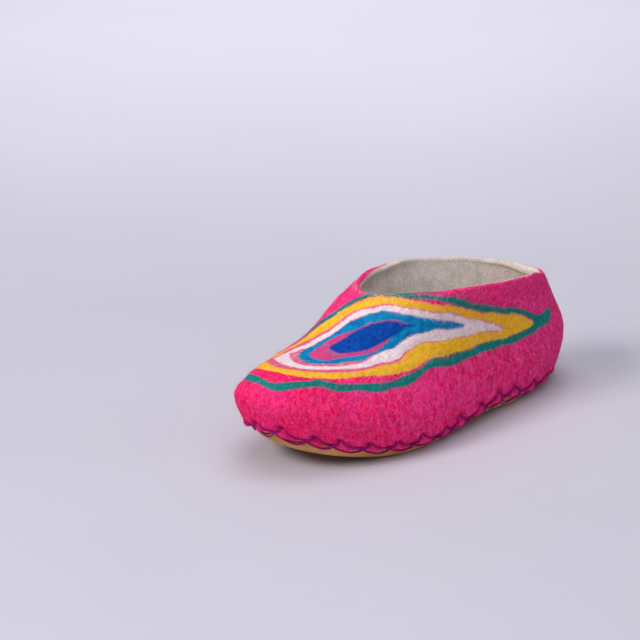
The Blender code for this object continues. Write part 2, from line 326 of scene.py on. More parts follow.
def felt_line(line, angle):
    """Points of one closed line. The angle is 0 at the toe and a quarter turn at the outer side."""
    cos, sin = np.cos(angle), np.sin(angle)
    power = 2 / np.where(cos > 0, line.square_toe, line.square_heel)
    forward = np.sign(cos) * np.abs(cos) ** power
    sideways = np.sign(sin) * np.abs(sin) ** power
    y = ((line.toe + line.heel) / 2 - (line.heel - line.toe) / 2 * forward) * MM
    stations = [station.along for station in FOOT_OUTLINE]
    half_width = np.where(sin > 0, line.outer, line.inner) * MM
    for side, is_side in (("outer", sin > 0), ("inner", sin <= 0)):
        shares = [getattr(station, side) for station in FOOT_OUTLINE]
        outline = smooth_table(y / LENGTH + 0.5, stations, shares)
        half_width = np.where(is_side, half_width * (1 + line.foot * (outline - 1)), half_width)
    mean = (line.z_toe + line.z_outer + line.z_heel + line.z_inner) / 4
    ends_over_sides = (line.z_toe - line.z_outer + line.z_heel - line.z_inner) / 4
    z = (
        mean
        + (line.z_toe - line.z_heel) / 2 * cos
        + ends_over_sides * np.cos(2 * angle)
        + (line.z_outer - line.z_inner) / 2 * sin
    ) * MM
    return np.stack([half_width * sideways, y, z + underside(y)], axis=-1)


def rib_slopes(lines, spans):
    """Slope of each rib, the curve from the floor line to the collar, where it meets each line."""
    slopes = np.zeros_like(lines)
    for k in range(1, len(lines) - 1):
        before = (lines[k] - lines[k - 1]) / spans[k - 1]
        after = (lines[k + 1] - lines[k]) / spans[k]
        share = spans[k] / (spans[k] + spans[k - 1])
        slopes[k] = before * share + after * (1 - share)
    outward = lines[1] - lines[0]
    reach = np.linalg.norm(outward, axis=-1, keepdims=True) / spans[0]
    slopes[0] = unit(outward * (1, 1, FLOOR_RISE)) * reach * FLOOR_PULL
    slopes[-1] = 2 * (lines[-1] - lines[-2]) / spans[-1] - slopes[-2]
    return slopes


def skin(angle, places):
    """The felt's outer surface: a row of points for each row of places.

    A place is 0 on the floor line, a whole number on each line above it, and from -1 to 0
    between the bottom's middle line and the floor line.
    """
    lines = np.array([felt_line(line, angle) for line in FELT_LINES])
    spans = np.linalg.norm(np.diff(lines, axis=0), axis=-1, keepdims=True) ** CHORD_POWER
    slopes = rib_slopes(lines, spans)
    middle = (lines[0][:, 1].max() + lines[0][:, 1].min()) / 2
    spine = lines[0] * (0, SPINE_SHARE, 0) + (0, middle * (1 - SPINE_SHARE), 0)
    rows = []
    for place in places:
        place = np.broadcast_to(place, angle.shape)
        if place.max() < 0:
            row = lines[0] + (spine - lines[0]) * -place[:, None]
            row[:, 2] = underside(row[:, 1]) + FELT_LINES[0].z_toe * MM
        else:
            k = np.clip(place.astype(int), 0, COLLAR - 1)
            j = np.arange(len(angle))
            s = (place - k)[:, None]
            span = spans[k, j]
            row = hermite(s, lines[k, j], lines[k + 1, j], slopes[k, j] * span, slopes[k + 1, j] * span)
        rows.append(row)
    return np.array(rows)


def outward_normals(rows):
    """Unit normals of a grid of rows that starts on the bottom's middle line."""
    round_it = np.roll(rows, -1, axis=1) - np.roll(rows, 1, axis=1)
    normals = np.cross(round_it, np.gradient(rows, axis=0))
    slope = underside_slope(rows[0][:, 1])
    normals[0] = np.stack([np.zeros_like(slope), slope, -np.ones_like(slope)], axis=-1)
    return normals / np.maximum(np.linalg.norm(normals, axis=-1, keepdims=True), TINY)


def all_round(steps):
    """Even angles all round, from the toe by the outer side."""
    return np.arange(steps) * 2 * np.pi / steps


def unevenness(points, size, seed):
    """Smooth noise at each point, about -1 to 1, with features of that size."""
    shift = Vector((seed * 7.31, seed * 3.77, seed * 5.13))
    flat = points.reshape(-1, 3) / size
    values = [noise.noise(Vector(point) + shift) for point in flat.tolist()]
    return np.array(values).reshape(points.shape[:-1])


# ---------------------------------------------------------------- the chart of the rings
def to_chart(points):
    """Each point as (back, down) in metres, laid out flat round the rings' middle."""
    facing = np.array(RING_FACING)
    back = np.array(RING_BACK - RING_FACING * RING_BACK.dot(RING_FACING))
    back = back / np.linalg.norm(back)
    down = np.cross(back, facing)
    away = points - np.array(RING_MIDDLE)
    reach = np.linalg.norm(away, axis=-1)
    turn = np.arctan2(away @ down, away @ back)
    return np.stack([reach * np.cos(turn), reach * np.sin(turn)], axis=-1)


def ring_curve(corners, between=6):
    """A closed smooth curve through a ring's points, in metres."""
    corners = np.array(corners, float) * MM
    before, after, beyond = (np.roll(corners, shift, axis=0) for shift in (1, -1, -2))
    slope, next_slope = (after - before) * RING_SLOPE, (beyond - corners) * RING_SLOPE
    shares = np.arange(between) / between
    pieces = [hermite(s, corners, after, slope, next_slope) for s in shares]
    return np.stack(pieces, axis=1).reshape(-1, 2)


def distance_inside(spots, curve):
    """How far each spot is inside a closed curve, negative outside it."""
    ends = np.roll(curve, -1, axis=0)
    nearest = np.full(len(spots), np.inf)
    crossings = np.zeros(len(spots), int)
    for start, end in zip(curve, ends):
        side = end - start
        share = np.clip(((spots - start) @ side) / max(side @ side, TINY), 0, 1)
        nearest = np.minimum(nearest, np.linalg.norm(spots - start - share[:, None] * side, axis=-1))
        spans = (start[1] > spots[:, 1]) != (end[1] > spots[:, 1])
        height = side[1] if abs(side[1]) > TINY else TINY
        crossings += spans & (spots[:, 0] < start[0] + side[0] * (spots[:, 1] - start[1]) / height)
    return np.where(crossings % 2 == 1, nearest, -nearest)


def ring_distances(points):
    """Distance inside each ring at each point, in metres, with hand-laid wobble."""
    wander = np.stack([unevenness(points, 11 * MM, 3), unevenness(points, 11 * MM, 4)], axis=-1)
    ripple = np.stack([unevenness(points, 4 * MM, 5), unevenness(points, 4 * MM, 6)], axis=-1)
    spots = (to_chart(points) + wander * 0.3 * MM + ripple * 0.35 * MM).reshape(-1, 2)
    found = {}
    for name, corners in RINGS.items():
        found[name] = distance_inside(spots, ring_curve(corners)).reshape(points.shape[:-1])
    off_dot = np.linalg.norm((points - np.array(DOT_MIDDLE)) * DOT_NARROWED, axis=-1)
    found["dot"] = DOT_RADIUS - off_dot + wander[..., 0] * MM + ripple[..., 0] * 0.6 * MM
    return found


# ---------------------------------------------------------------- the stitched edge
CROSSING_HEIGHT = 1.6 * MM  # of the threads' crossings over the leather's edge
EDGE_SINKS = 1.3 * MM  # how far the stitches draw the leather's edge into the felt
STITCHES_BACK = 0.6  # how far back the row of stitches begins, as a share of its first step
HOLE_WANDER = 1.3  # of a hole off the middle between two crossings, in millimetres
PUCKER_LEFT = 0.35  # the share of the swelling that is left beside a crossing

Dent = namedtuple("Dent", "depth width")
CROSSING_DENT = Dent(0.8 * MM, 2.4 * MM)
HOLE_DENT = Dent(1.1 * MM, 2.4 * MM)
THREAD_DENT = Dent(1.0 * MM, 1.7 * MM)
DENTED_SPAN = 20 * MM  # the furthest that a crossing dents the felt
FULLY_SHADED_DENT = 1.2 * MM  # the dent from which the painted shade in the felt is darkest


def drawn_in(height):
    """How far the leather is drawn in at a height over its edge, which is negative on the leather."""
    return EDGE_SINKS * smooth_step(height, -10 * MM, -0.8 * MM)


def leather_thickness(form, share):
    """The leather's thickness by share of the way from the floor line to its edge, where it is pared."""
    return LEATHER_SKIVED + (form.leather - LEATHER_SKIVED) * (1 - smooth_step(share, 0.0, 0.5))


class StitchedEdge:
    """Places along the leather's top edge: how far round it, and how high above it on the felt."""

    def __init__(self, angle, rows, places, top, reach):
        line = skin(angle, [top])[0]
        gaps = np.linalg.norm(np.roll(line, -1, axis=0) - line, axis=-1)
        self.length = gaps.sum()
        self.round_it = np.concatenate([[0], np.cumsum(gaps)[:-1]])
        rise = np.linalg.norm(np.diff(rows, axis=0), axis=-1)
        height = np.concatenate([np.zeros((1, rows.shape[1])), np.cumsum(rise, axis=0)])
        at_top = [np.interp(top[j], places[:, j], height[:, j]) for j in range(len(top))]
        self.height = height - np.array(at_top)
        steps = np.array(STITCH_STEPS, float)
        self.crossings = (np.cumsum(steps) - steps[0] * STITCHES_BACK) * self.length / steps.sum()
        self.count = len(steps)
        chance = np.random.default_rng(12)
        self.hole_shift = chance.uniform(-HOLE_WANDER, HOLE_WANDER, self.count) * MM
        self.hole_height = reach * chance.uniform(0.86, 1.12, self.count)
        self.spread = chance.uniform(0.2, 1.1, self.count) * MM

    def crossing(self, k):
        """Where crossing k is, round the edge. Past the last, it goes on round again."""
        return self.crossings[k % self.count] + self.length * (k // self.count)

    def hole(self, k):
        """The hole in the felt between crossing k and the next: how far round, and how high."""
        k = k % self.count
        middle = (self.crossing(k) + self.crossing(k + 1)) / 2
        return middle + self.hole_shift[k], self.hole_height[k]

    def arms(self, k):
        """The two holes of crossing k, as (along, above) from it: behind it and ahead of it."""
        k = k % self.count
        before, before_height = self.hole(k - 1)
        after, after_height = self.hole(k)
        behind = self.off_crossing(k, before) + self.spread[k], before_height
        ahead = self.off_crossing(k, after) - self.spread[k - 1], after_height
        return behind, ahead

    def off_crossing(self, k, along):
        """How far these places are past crossing k, the short way round."""
        return (along - self.crossing(k) + self.length / 2) % self.length - self.length / 2

    def pull(self, pucker):
        """How far the stitches move the felt outwards at each point of the rows."""
        high = self.height
        along = np.broadcast_to(self.round_it, high.shape)
        offs = [self.off_crossing(k, along) for k in range(self.count)]
        between = smooth_step(np.min(np.abs(offs), axis=0), 0.5 * MM, 8 * MM)
        swell = smooth_step(high, -0.6 * MM, 3.4 * MM) * (1 - smooth_step(high, 4 * MM, 16 * MM))
        moved = -drawn_in(high) * (1 - smooth_step(high, -0.6 * MM, 1.6 * MM))
        moved = moved + swell * pucker * (PUCKER_LEFT + (1 - PUCKER_LEFT) * between)
        # How deep each point lies in the stitches' dents, which the felt's material darkens as painted
        # shade.
        self.pressed = np.zeros(high.shape)
        for k, off in enumerate(offs):
            near = (np.abs(off) < DENTED_SPAN) & (np.abs(high) < DENTED_SPAN)
            dent = self.dent(k, off[near], high[near])
            moved[near] -= dent
            self.pressed[near] += dent / FULLY_SHADED_DENT
        return moved

    def dent(self, k, along, above):
        """How deep crossing k and its two threads press the felt at these places off it."""
        deep = CROSSING_DENT.depth * bump_at(along, CROSSING_DENT.width)
        deep = deep * bump_at(above - 1.5 * MM, 3.5 * MM)
        up = above - CROSSING_HEIGHT
        for hole_along, hole_above in self.arms(k):
            to_hole = np.hypot(along - hole_along, above - hole_above)
            rise = hole_above - CROSSING_HEIGHT
            share = np.clip((along * hole_along + up * rise) / (hole_along**2 + rise**2), 0, 1)
            to_thread = np.hypot(along - share * hole_along, up - share * rise)
            deep = deep + HOLE_DENT.depth * bump_at(to_hole, HOLE_DENT.width)
            deep = deep + THREAD_DENT.depth * bump_at(to_thread, THREAD_DENT.width)
        return deep * smooth_step(above, -1.5 * MM, 0.5 * MM)

    def on(self, rows, along, high):
        """Points on a grid of rows at these distances round the edge and above it."""
        along = along % self.length
        column = np.interp(along, np.append(self.round_it, self.length), np.arange(rows.shape[1] + 1))
        left = column.astype(int) % rows.shape[1]
        share = (column - column.astype(int))[:, None]
        right = (left + 1) % rows.shape[1]
        points = []
        for columns in (left, right):
            found = []
            for j, h in zip(columns, high):
                place = np.interp(h, self.height[:, j], np.arange(len(rows)))
                low = min(int(place), len(rows) - 2)
                found.append(rows[low, j] + (rows[low + 1, j] - rows[low, j]) * (place - low))
            points.append(np.array(found))
        return points[0] * (1 - share) + points[1] * share


# ---------------------------------------------------------------- meshes
def grid_mesh(name, rows, marks=None):
    """A mesh through closed rows of points, from the bottom's middle line back to it."""
    count = rows.shape[1]
    index = np.arange(rows.shape[0] * count).reshape(rows.shape[0], count)
    # The first and the last row run up the middle line and back down, over the same points.
    folded = np.minimum(np.arange(count), (count - np.arange(count)) % count)
    for n in (0, -1):
        index[n] = index[n][folded]
    used, compact = np.unique(index, return_inverse=True)
    compact = compact.reshape(index.shape)
    onward = np.roll(compact, -1, axis=1)
    faces = np.stack([compact[:-1], onward[:-1], onward[1:], compact[1:]], axis=-1).reshape(-1, 4)
    marks = {key: values.reshape(index.size, -1)[used] for key, values in (marks or {}).items()}
    return mesh_object(name, rows.reshape(-1, 3)[used], faces.tolist(), marks)


def mesh_object(name, points, faces, marks):
    """A smooth-shaded object from points and faces, with named numbers or vectors on its points."""
    mesh = bpy.data.meshes.new(name)
    mesh.from_pydata(points.tolist(), [], faces)
    mesh.shade_smooth()
    for key, values in marks.items():
        kind, field = {1: ("FLOAT", "value"), 3: ("FLOAT_VECTOR", "vector")}[values.shape[1]]
        layer = mesh.attributes.new(key, kind, "POINT")
        layer.data.foreach_set(field, values.ravel().astype(np.float32))
    piece = bpy.data.objects.new(name, mesh)
    bpy.context.scene.collection.objects.link(piece)
    return piece


def settle(piece, material, slot, *nodes):
    """Give the piece its material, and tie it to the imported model."""
    piece.data.materials.append(material)
    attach(piece, BODY)
    if nodes:
        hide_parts(*nodes)


# ---------------------------------------------------------------- materials
MIX_SHARE, MIX_FIRST, MIX_SECOND, MIX_RESULT = 0, 6, 7, 2  # sockets of a Mix node of colours


class Value:
    """A socket whose arithmetic makes Math nodes."""

    def __init__(self, tree, socket):
        self.tree = tree
        self.socket = socket

    def _math(self, operation, *terms):
        return self.tree.node("ShaderNodeMath", {"operation": operation}, dict(enumerate(terms)))

    def __add__(self, other):
        return self._math("ADD", self, other)

    def __sub__(self, other):
        return self._math("SUBTRACT", self, other)

    def __mul__(self, other):
        return self._math("MULTIPLY", self, other)

    def __rsub__(self, other):
        return self._math("SUBTRACT", other, self)

    __radd__ = __add__
    __rmul__ = __mul__

    def __abs__(self):
        return self._math("ABSOLUTE", self)

    def over(self, other):
        """The larger of the two."""
        return self._math("MAXIMUM", self, other)


class Tree:
    """A new material's nodes, ending in one Principled shader."""

    def __init__(self, name, **constants):
        self.material = bpy.data.materials.new(name)
        self.material.use_nodes = True
        self.nodes = self.material.node_tree.nodes
        self.links = self.material.node_tree.links
        self.shader = self.nodes["Principled BSDF"]
        for socket, value in constants.items():
            self.shader.inputs[socket.replace("_", " ")].default_value = value

    def node(self, kind, settings=None, sockets=None, out=0):
        """Add a node, and return one of its outputs."""
        node = self.nodes.new(kind)
        for key, value in (settings or {}).items():
            setattr(node, key, value)
        for key, value in (sockets or {}).items():
            if isinstance(value, Value):
                self.links.new(value.socket, node.inputs[key])
            else:
                node.inputs[key].default_value = value
        return Value(self, node.outputs[out])

    def feed(self, socket, value):
        """Link a value to the shader."""
        self.links.new(value.socket, self.shader.inputs[socket])

    def place(self):
        """Where a point is on the object, in metres."""
        return self.node("ShaderNodeTexCoord", out="Object")

    def mark(self, name):
        """A number or vector stored on the mesh's points."""
        kind = "Vector" if name in ("lay", "tint") else "Fac"
        return self.node("ShaderNodeAttribute", {"attribute_name": name}, out=kind)

    def stretch(self, vector, factors):
        """A vector with each part scaled."""
        return self.node("ShaderNodeVectorMath", {"operation": "MULTIPLY"}, {0: vector, 1: factors})

    def turn(self, vector, axis, angle):
        """A vector turned round an axis."""
        sockets = {"Vector": vector, "Axis": axis, "Angle": angle}
        return self.node("ShaderNodeVectorRotate", None, sockets)

    def noise(self, vector, size, detail=3.0, roughness=0.6, distortion=0.0):
        """Noise around 0.5, with features of that size in metres."""
        sockets = {"Vector": vector, "Scale": 1 / size, "Detail": detail}
        sockets |= {"Roughness": roughness, "Distortion": distortion}
        return self.node("ShaderNodeTexNoise", None, sockets)

    def ease(self, value, low, high):
        """0 at low, 1 at high, eased between."""
        sockets = {"Value": value, "From Min": low, "From Max": high}
        return self.node("ShaderNodeMapRange", {"interpolation_type": "SMOOTHSTEP"}, sockets)

    def scale(self, value, low, high):
        """A 0 to 1 value moved to between low and high."""
        sockets = {"Value": value, "To Min": low, "To Max": high}
        return self.node("ShaderNodeMapRange", None, sockets)

    def vary(self, grain, low, high):
        """The middle of a noise, from 0.3 to 0.7, spread out between low and high."""
        return self.scale(self.ease(grain, 0.3, 0.7), low, high)

    def hairs(self, vector, size, width, detail=1.0, distortion=0.6):
        """1 on thin winding lines, as of fibres, and 0 between them."""
        ridge = abs(self.noise(vector, size, detail, 0.5, distortion) - 0.5)
        return 1 - self.ease(ridge, 0.0, width)

    def blend(self, share, first, second, mode="MIX"):
        """Mix two colours."""
        settings = {"data_type": "RGBA", "blend_type": mode}
        sockets = {MIX_SHARE: share, MIX_FIRST: self._shade(first), MIX_SECOND: self._shade(second)}
        return self.node("ShaderNodeMix", settings, sockets, MIX_RESULT)

    def layers(self, shade, rows):
        """A colour with others mixed over it in turn, each by its share."""
        for share, over in rows:
            shade = self.blend(share, shade, over)
        return shade

    def toned(self, shade, tone):
        """A colour made lighter or darker by a number."""
        grey = self.node("ShaderNodeCombineColor", None, {0: tone, 1: tone, 2: tone})
        return self.blend(1.0, shade, grey, "MULTIPLY")

    @staticmethod
    def _shade(choice):
        return choice if isinstance(choice, Value) else (*tuple(choice)[:3], 1)

    def bump(self, height, distance, strength, under=None):
        """A normal from a height of 0 to 1."""
        sockets = {"Height": height, "Distance": distance, "Strength": strength}
        if under is not None:
            sockets["Normal"] = under
        return self.node("ShaderNodeBump", None, sockets)


def lighter(shade, share):
    """A colour moved towards white."""
    return tuple(part + (1 - part) * share for part in tuple(shade)[:3])


def darker(shade, share):
    """A colour moved towards black."""
    return tuple(part * (1 - share) for part in tuple(shade)[:3])


# Shades that lie beside the colours a user may change.
TOE_PINK = (0.94, 0.004, 0.095)
DEEP_PINK = (0.80, 0.003, 0.080)
# The next pink is a whitish haze of fuzz with painted sheen.
FUZZ_AND_SHEEN_PINK = (0.92, 0.032, 0.25)
STREAK_PINK = (0.94, 0.042, 0.29)
# The next pink darkens the wool towards the heel as painted shade.
HEEL_SHADE_PINK = (0.60, 0.035, 0.20)
SPECK_PINK = (1.0, 0.065, 0.33)
SOFT_PINK = (0.80, 0.12, 0.24)  # where pink wool works into a pale ring
CORE_PINK = (0.68, 0.05, 0.20)
DEEP_BLUE = (0.004, 0.025, 0.20)
PINK_HAIR = (0.97, 0.14, 0.42)
TOE_HAIR = (0.98, 0.09, 0.29)
TEAL_HAIR = (0.08, 0.46, 0.42)
YELLOW_HAIR = (0.95, 0.60, 0.55)
BLUE_HAIR = (0.04, 0.36, 0.76)
GREYED_CREAM = (0.66, 0.56, 0.53)
YELLOWED_CREAM = (0.80, 0.69, 0.52)
DARK_HAIR = (0.20, 0.13, 0.09)
# The next two are the rough underside, darkened as painted shade.
ROUGH_SHADED_HIDE = (0.50, 0.235, 0.06)
ROUGH_SHADED_HIDE_DARK = (0.36, 0.155, 0.04)
WORN_HIDE = (0.30, 0.21, 0.13)
BRIGHT_YARN = (0.60, 0.010, 0.30)
BLUISH_YARN = (0.30, 0.004, 0.27)

# How far the dye of a ring reaches past its line, and how wide its edge frays and fades.
RING_SPREAD = {"teal": 0.4 * MM, "teal_inner": -0.35 * MM, "turquoise": 0.35 * MM, "blue": 0.3 * MM}
RING_FRAY = 2.2 * MM
RING_FADE = 0.65 * MM

Wool = namedtuple("Wool", "clumps specks drawn light dark")


def wool(tree, lay):
    """The grain of felted wool, each part 0 to 1: clumps, specks, drawn wool, light and dark hairs."""
    place = tree.place()
    crossed = tree.turn(place, (0.3, 0.5, 0.8), 1.1)
    light = tree.hairs(place, 4.2 * MM, 0.05).over(tree.hairs(lay, 4.0 * MM, 0.06))
    light = light.over(tree.hairs(crossed, 3.4 * MM, 0.045))
    turned = tree.turn(place, (0.6, 0.1, 0.4), 2.0)
    dark = tree.hairs(turned, 3.4 * MM, 0.05).over(tree.hairs(lay, 2.7 * MM, 0.05))
    return Wool(
        clumps=tree.noise(place, 9 * MM, 3.0, 0.55),
        specks=tree.noise(place, 1.5 * MM, 3.0, 0.75, 0.4),
        drawn=tree.noise(lay, 1.7 * MM, 3.0, 0.65, 0.5),
        light=light,
        dark=dark,
    )


def felt_material(colours):
    """Dyed felt outside, with the rings, and undyed felt inside."""
    tree = Tree("dyed_felt", Roughness=1.0, Specular_IOR_Level=0.04)
    place = tree.place()
    grain = wool(tree, tree.mark("lay"))
    light = grain.light
    fray = (tree.noise(place, 1.5 * MM, 3.0, 0.7) - 0.5) * RING_FRAY
    inside = {}
    for ring in (*RINGS, "dot"):
        distance = tree.mark(ring) + fray + RING_SPREAD.get(ring, 0)
        inside[ring] = tree.ease(distance, -RING_FADE, RING_FADE)

    # At the toe the pink is deeper and warmer than from the ball backwards, where a painted sheen lies
    # over it.
    toe = 1 - tree.ease(tree.mark("back"), 0.06, 0.36)
    pink = pink_shade(tree, colours, grain.specks, toe)
    patch = tree.ease(tree.noise(place, 7 * MM, 3.0, 0.6, 0.6), 0.44, 0.70)
    streak = tree.ease(tree.noise(place, 6 * MM, 3.0, 0.6, 0.8), 0.50, 0.70)
    shade = tree.layers(pink, (
        (inside["teal"], colours.teal),
        (inside["teal_inner"], pink),
        (inside["yellow"], colours.yellow),
        (inside["pale_line"], SOFT_PINK),
        (inside["pale"], colours.pale),
        (inside["turquoise_line"], SOFT_PINK),
        (inside["turquoise"], tree.blend(patch * 0.6, colours.turquoise, colours.blue)),
        (inside["core"], tree.blend(streak * 0.45, CORE_PINK, colours.turquoise)),
        (inside["blue"], tree.blend(streak * 0.5, colours.blue, DEEP_BLUE)),
        (inside["dot"], colours.blue),
    ))

    # Wool of neighbouring colours works into each other as it is felted.
    stray = tree.hairs(tree.turn(place, (0.7, 0.2, 0.4), 0.8), 3.4 * MM, 0.03)
    stray = stray * tree.ease(grain.clumps, 0.5, 0.7)
    outside_blue = 1 - inside["turquoise"]
    on_pink = 1 - inside["teal"] + inside["teal_inner"] - inside["yellow"]
    on_pink = on_pink * (1 - inside["dot"] * 0.85)
    on_teal = inside["teal"] * (1 - inside["teal_inner"])
    shade = tree.layers(shade, (
        (stray * outside_blue * 0.12, SOFT_PINK),
        (light * on_pink * 0.40, tree.blend(toe, PINK_HAIR, TOE_HAIR)),
        (light * on_teal * 0.14, TEAL_HAIR),
        (light * inside["yellow"] * outside_blue * 0.10, YELLOW_HAIR),
        (light * inside["turquoise"] * 0.07, BLUE_HAIR),
    ))

    mottle = tree.noise(place, 3.4 * MM, 2.0, 0.6, 0.5)
    tone = tree.scale(grain.clumps, 0.90, 1.10) * tree.vary(mottle, 0.90, 1.14)
    tone = tone * tree.vary(grain.specks, 0.86, 1.18) * tree.vary(grain.drawn, 0.86, 1.17)
    tone = tone * (1 - grain.dark * 0.12)
    tone = 1 + (tone - 1) * (1 - inside["yellow"] * 0.32)
    # Painted shade: the felt is darker in the dents that the stitches press into it.
    shade = tree.toned(shade, tone * (1 - tree.mark("pressed") * 0.35))

    edge = tree.mark("lining") + (tree.noise(place, 1.6 * MM, 3.0, 0.7) - 0.5) * 0.6
    edge = edge + (grain.clumps - 0.5) * 0.5 + light * 0.08
    shade = tree.blend(tree.ease(edge, 0.12, 0.9), shade, lining_shade(tree, colours, grain))
    tree.feed("Base Color", shade)
    coarse = tree.bump(grain.clumps * 0.5 + grain.drawn, 0.5 * MM, 0.5)
    tree.feed("Normal", tree.bump(grain.specks + light * 0.12, 0.38 * MM, 0.7, coarse))
    return tree.material


def pink_shade(tree, colours, specks, toe):
    """The main wool: hot pink, with deeper patches and streaks of a lighter pink drawn up the sides."""
    lay = tree.mark("lay")
    patches = tree.ease(tree.noise(lay, 7 * MM, 3.0, 0.6, 0.8), 0.36, 0.64)
    streaks = tree.ease(tree.noise(lay, 3.0 * MM, 3.0, 0.65, 0.6), 0.42, 0.70)
    # A whitish haze of fuzz and painted sheen, fainter at the toe than from the ball backwards.
    fuzz_and_sheen = tree.ease(tree.noise(tree.place(), 13 * MM, 3.0, 0.6), 0.42, 0.62)
    # Painted shade: the pink is darkened towards the heel.
    heel = tree.ease(tree.mark("back"), 0.55, 0.95)
    return tree.layers(DEEP_PINK, (
        (patches, tree.blend(toe, colours.pink, TOE_PINK)),
        (fuzz_and_sheen * (0.55 - toe * 0.25), FUZZ_AND_SHEEN_PINK),
        (streaks * (0.6 - toe * 0.25), STREAK_PINK),
        (heel * 0.45, HEEL_SHADE_PINK),
        (tree.ease(specks, 0.52, 0.75) * (0.35 - toe * 0.1), SPECK_PINK),
    ))


def lining_shade(tree, colours, grain):
    """Undyed wool: cream, with greyer clumps and a few dark hairs."""
    yellowed = tree.ease(tree.noise(tree.place(), 22 * MM, 2.0, 0.5), 0.45, 0.65)
    kemp = tree.hairs(tree.place(), 8 * MM, 0.025) * tree.ease(grain.specks, 0.5, 0.6)
    shade = tree.layers(colours.cream, (
        (tree.ease(grain.clumps, 0.35, 0.7), GREYED_CREAM),
        (yellowed * 0.5, YELLOWED_CREAM),
        (grain.light * 0.35, lighter(colours.cream, 0.5)),
        (kemp * 0.55, DARK_HAIR),
    ))
    return tree.toned(shade, tree.vary(grain.specks, 0.84, 1.12))


def insole_material(colours):
    """Pressed undyed felt."""
    tree = Tree(
        "undyed_felt", Roughness=0.95, Specular_IOR_Level=0.2, Sheen_Weight=0.25, Sheen_Roughness=0.5
    )
    grain = wool(tree, tree.place())
    tree.feed("Base Color", lining_shade(tree, colours, grain))
    tree.feed("Normal", tree.bump(grain.specks + grain.clumps * 0.6 + grain.light * 0.3, 0.4 * MM, 0.8))
    return tree.material


def leather_material(colours):
    """Oiled hide: fine grain, soft clouding, a darker edge, a rough underside in painted shade, worn on
    the floor.
    """
    tree = Tree("tan_hide", Specular_IOR_Level=0.2)
    place = tree.place()
    tan = colours.leather
    clouds = tree.noise(place, 16 * MM, 4.0, 0.6)
    pores = tree.noise(place, 0.9 * MM, 2.0, 0.7)
    cell_sockets = {"Vector": place, "Scale": 1 / (1.3 * MM)}
    cells = tree.node("ShaderNodeTexVoronoi", {"feature": "DISTANCE_TO_EDGE"}, cell_sockets)
    scuff = tree.hairs(tree.stretch(place, (1.0, 0.25, 1.0)), 9 * MM, 0.02, 2.0, 1.2)
    # The underside: rough flesh side, painted darker as shade under the sole.
    rough_shaded_side = tree.blend(tree.ease(pores, 0.35, 0.65), ROUGH_SHADED_HIDE_DARK, ROUGH_SHADED_HIDE)
    worn = tree.mark("worn") * tree.ease(clouds, 0.35, 0.6)
    tree.feed("Base Color", tree.layers(darker(tan, 0.22), (
        (tree.ease(clouds, 0.3, 0.75), lighter(tan, 0.10)),
        (tree.ease(pores, 0.55, 0.8) * 0.35, darker(tan, 0.5)),
        (tree.mark("edge") * 0.55, darker(tan, 0.40)),
        (tree.mark("under") * 0.92, rough_shaded_side),
        (worn * 0.5, WORN_HIDE),
        (scuff * tree.mark("worn") * 0.4, lighter(tan, 0.35)),
    )))
    tree.feed("Roughness", tree.scale(clouds, 0.5, 0.72) + worn * 0.12)
    grain = tree.bump(tree.ease(cells, 0.0, 0.12) * 0.6 + pores * 0.4, 0.12 * MM, 0.6)
    tree.feed("Normal", tree.bump(clouds, 0.4 * MM, 0.4, grain))
    return tree.material


def thread_material(colours):
    """Twisted wool yarn."""
    tree = Tree("purple_yarn", Roughness=0.8, Specular_IOR_Level=0.12)
    purple = colours.thread
    fibres = tree.noise(tree.place(), 0.5 * MM, 2.0, 0.7)
    drift = tree.noise(tree.place(), 14 * MM, 2.0, 0.5)
    tree.feed("Base Color", tree.layers(darker(purple, 0.35), (
        (tree.ease(fibres, 0.4, 0.7), BRIGHT_YARN),
        (tree.ease(drift, 0.5, 0.7) * 0.4, BLUISH_YARN),
        # Painted shade in the grooves between the plies.
        (tree.mark("ply_shade") * 0.45, darker(purple, 0.75)),
    )))
    tree.feed("Normal", tree.bump(fibres, 0.15 * MM, 0.6))
    return tree.material


def fibre_material():
    """Single hairs, each in its own tint."""
    tree = Tree("loose_wool", Roughness=0.8, Specular_IOR_Level=0.3)
    tone = tree.scale(tree.noise(tree.place(), 2 * MM, 1.0), 0.8, 1.2)
    tree.feed("Base Color", tree.toned(tree.mark("tint"), tone))
    return tree.material


def floor_material(colours):
    """Painted board, almost plain."""
    tree = Tree("pale_floor")
    place = tree.place()
    pale = colours.floor
    clouds = tree.noise(place, 250 * MM, 3.0, 0.5)
    tree.feed("Base Color", tree.blend(tree.ease(clouds, 0.3, 0.7), pale, darker(pale, 0.035)))
    tree.feed("Roughness", tree.scale(clouds, 0.55, 0.65))
    tree.feed("Normal", tree.bump(tree.noise(place, 6 * MM, 4.0, 0.6), 0.3 * MM, 0.15))
    return tree.material


# ---------------------------------------------------------------- the felt shell
BOTTOM_ROWS = 5
WRAPPED_ROWS = 7  # from the floor line to the leather's edge
PUCKERED_ROWS = 24  # over the swelling above it
PUCKERED_SPAN = 0.42  # of a place
PUCKERED_PACKING = 1.15  # over 1, its rows lie closer together at the leather's edge
SPAN_ROWS = (8, 16, 30, 30)  # from there up to each line
RIM_ROWS = 12
RIB_END = 0.04  # of a place, over which the end of a rib is taken as straight

SEAM = Dent(0.22 * MM, 1.3 * MM)  # along the line between two colours
SEAMED_RINGS = ("teal", "yellow", "pale", "turquoise", "blue")
SHOULDER_AT, SHOULDER_SPAN = 3.55, 0.5  # places

RIM_THINNED = 0.74  # the wall at the collar's edge, as a share of the wall below it

# Where the undyed wool starts, every thirty degrees: from 0 at the outside of the collar's
# edge to 1 at its inside, and below 0 on the wall under it, where PALE_SPAN of a place is 1.
PALE_FROM = (0.28, 0.26, 0.34, 0.34, 0.36, 0.24, -0.15, -0.50, -0.45, -0.1, 0.28, 0.34)
PALE_SPAN = 0.12
PALE_FADE = 0.6

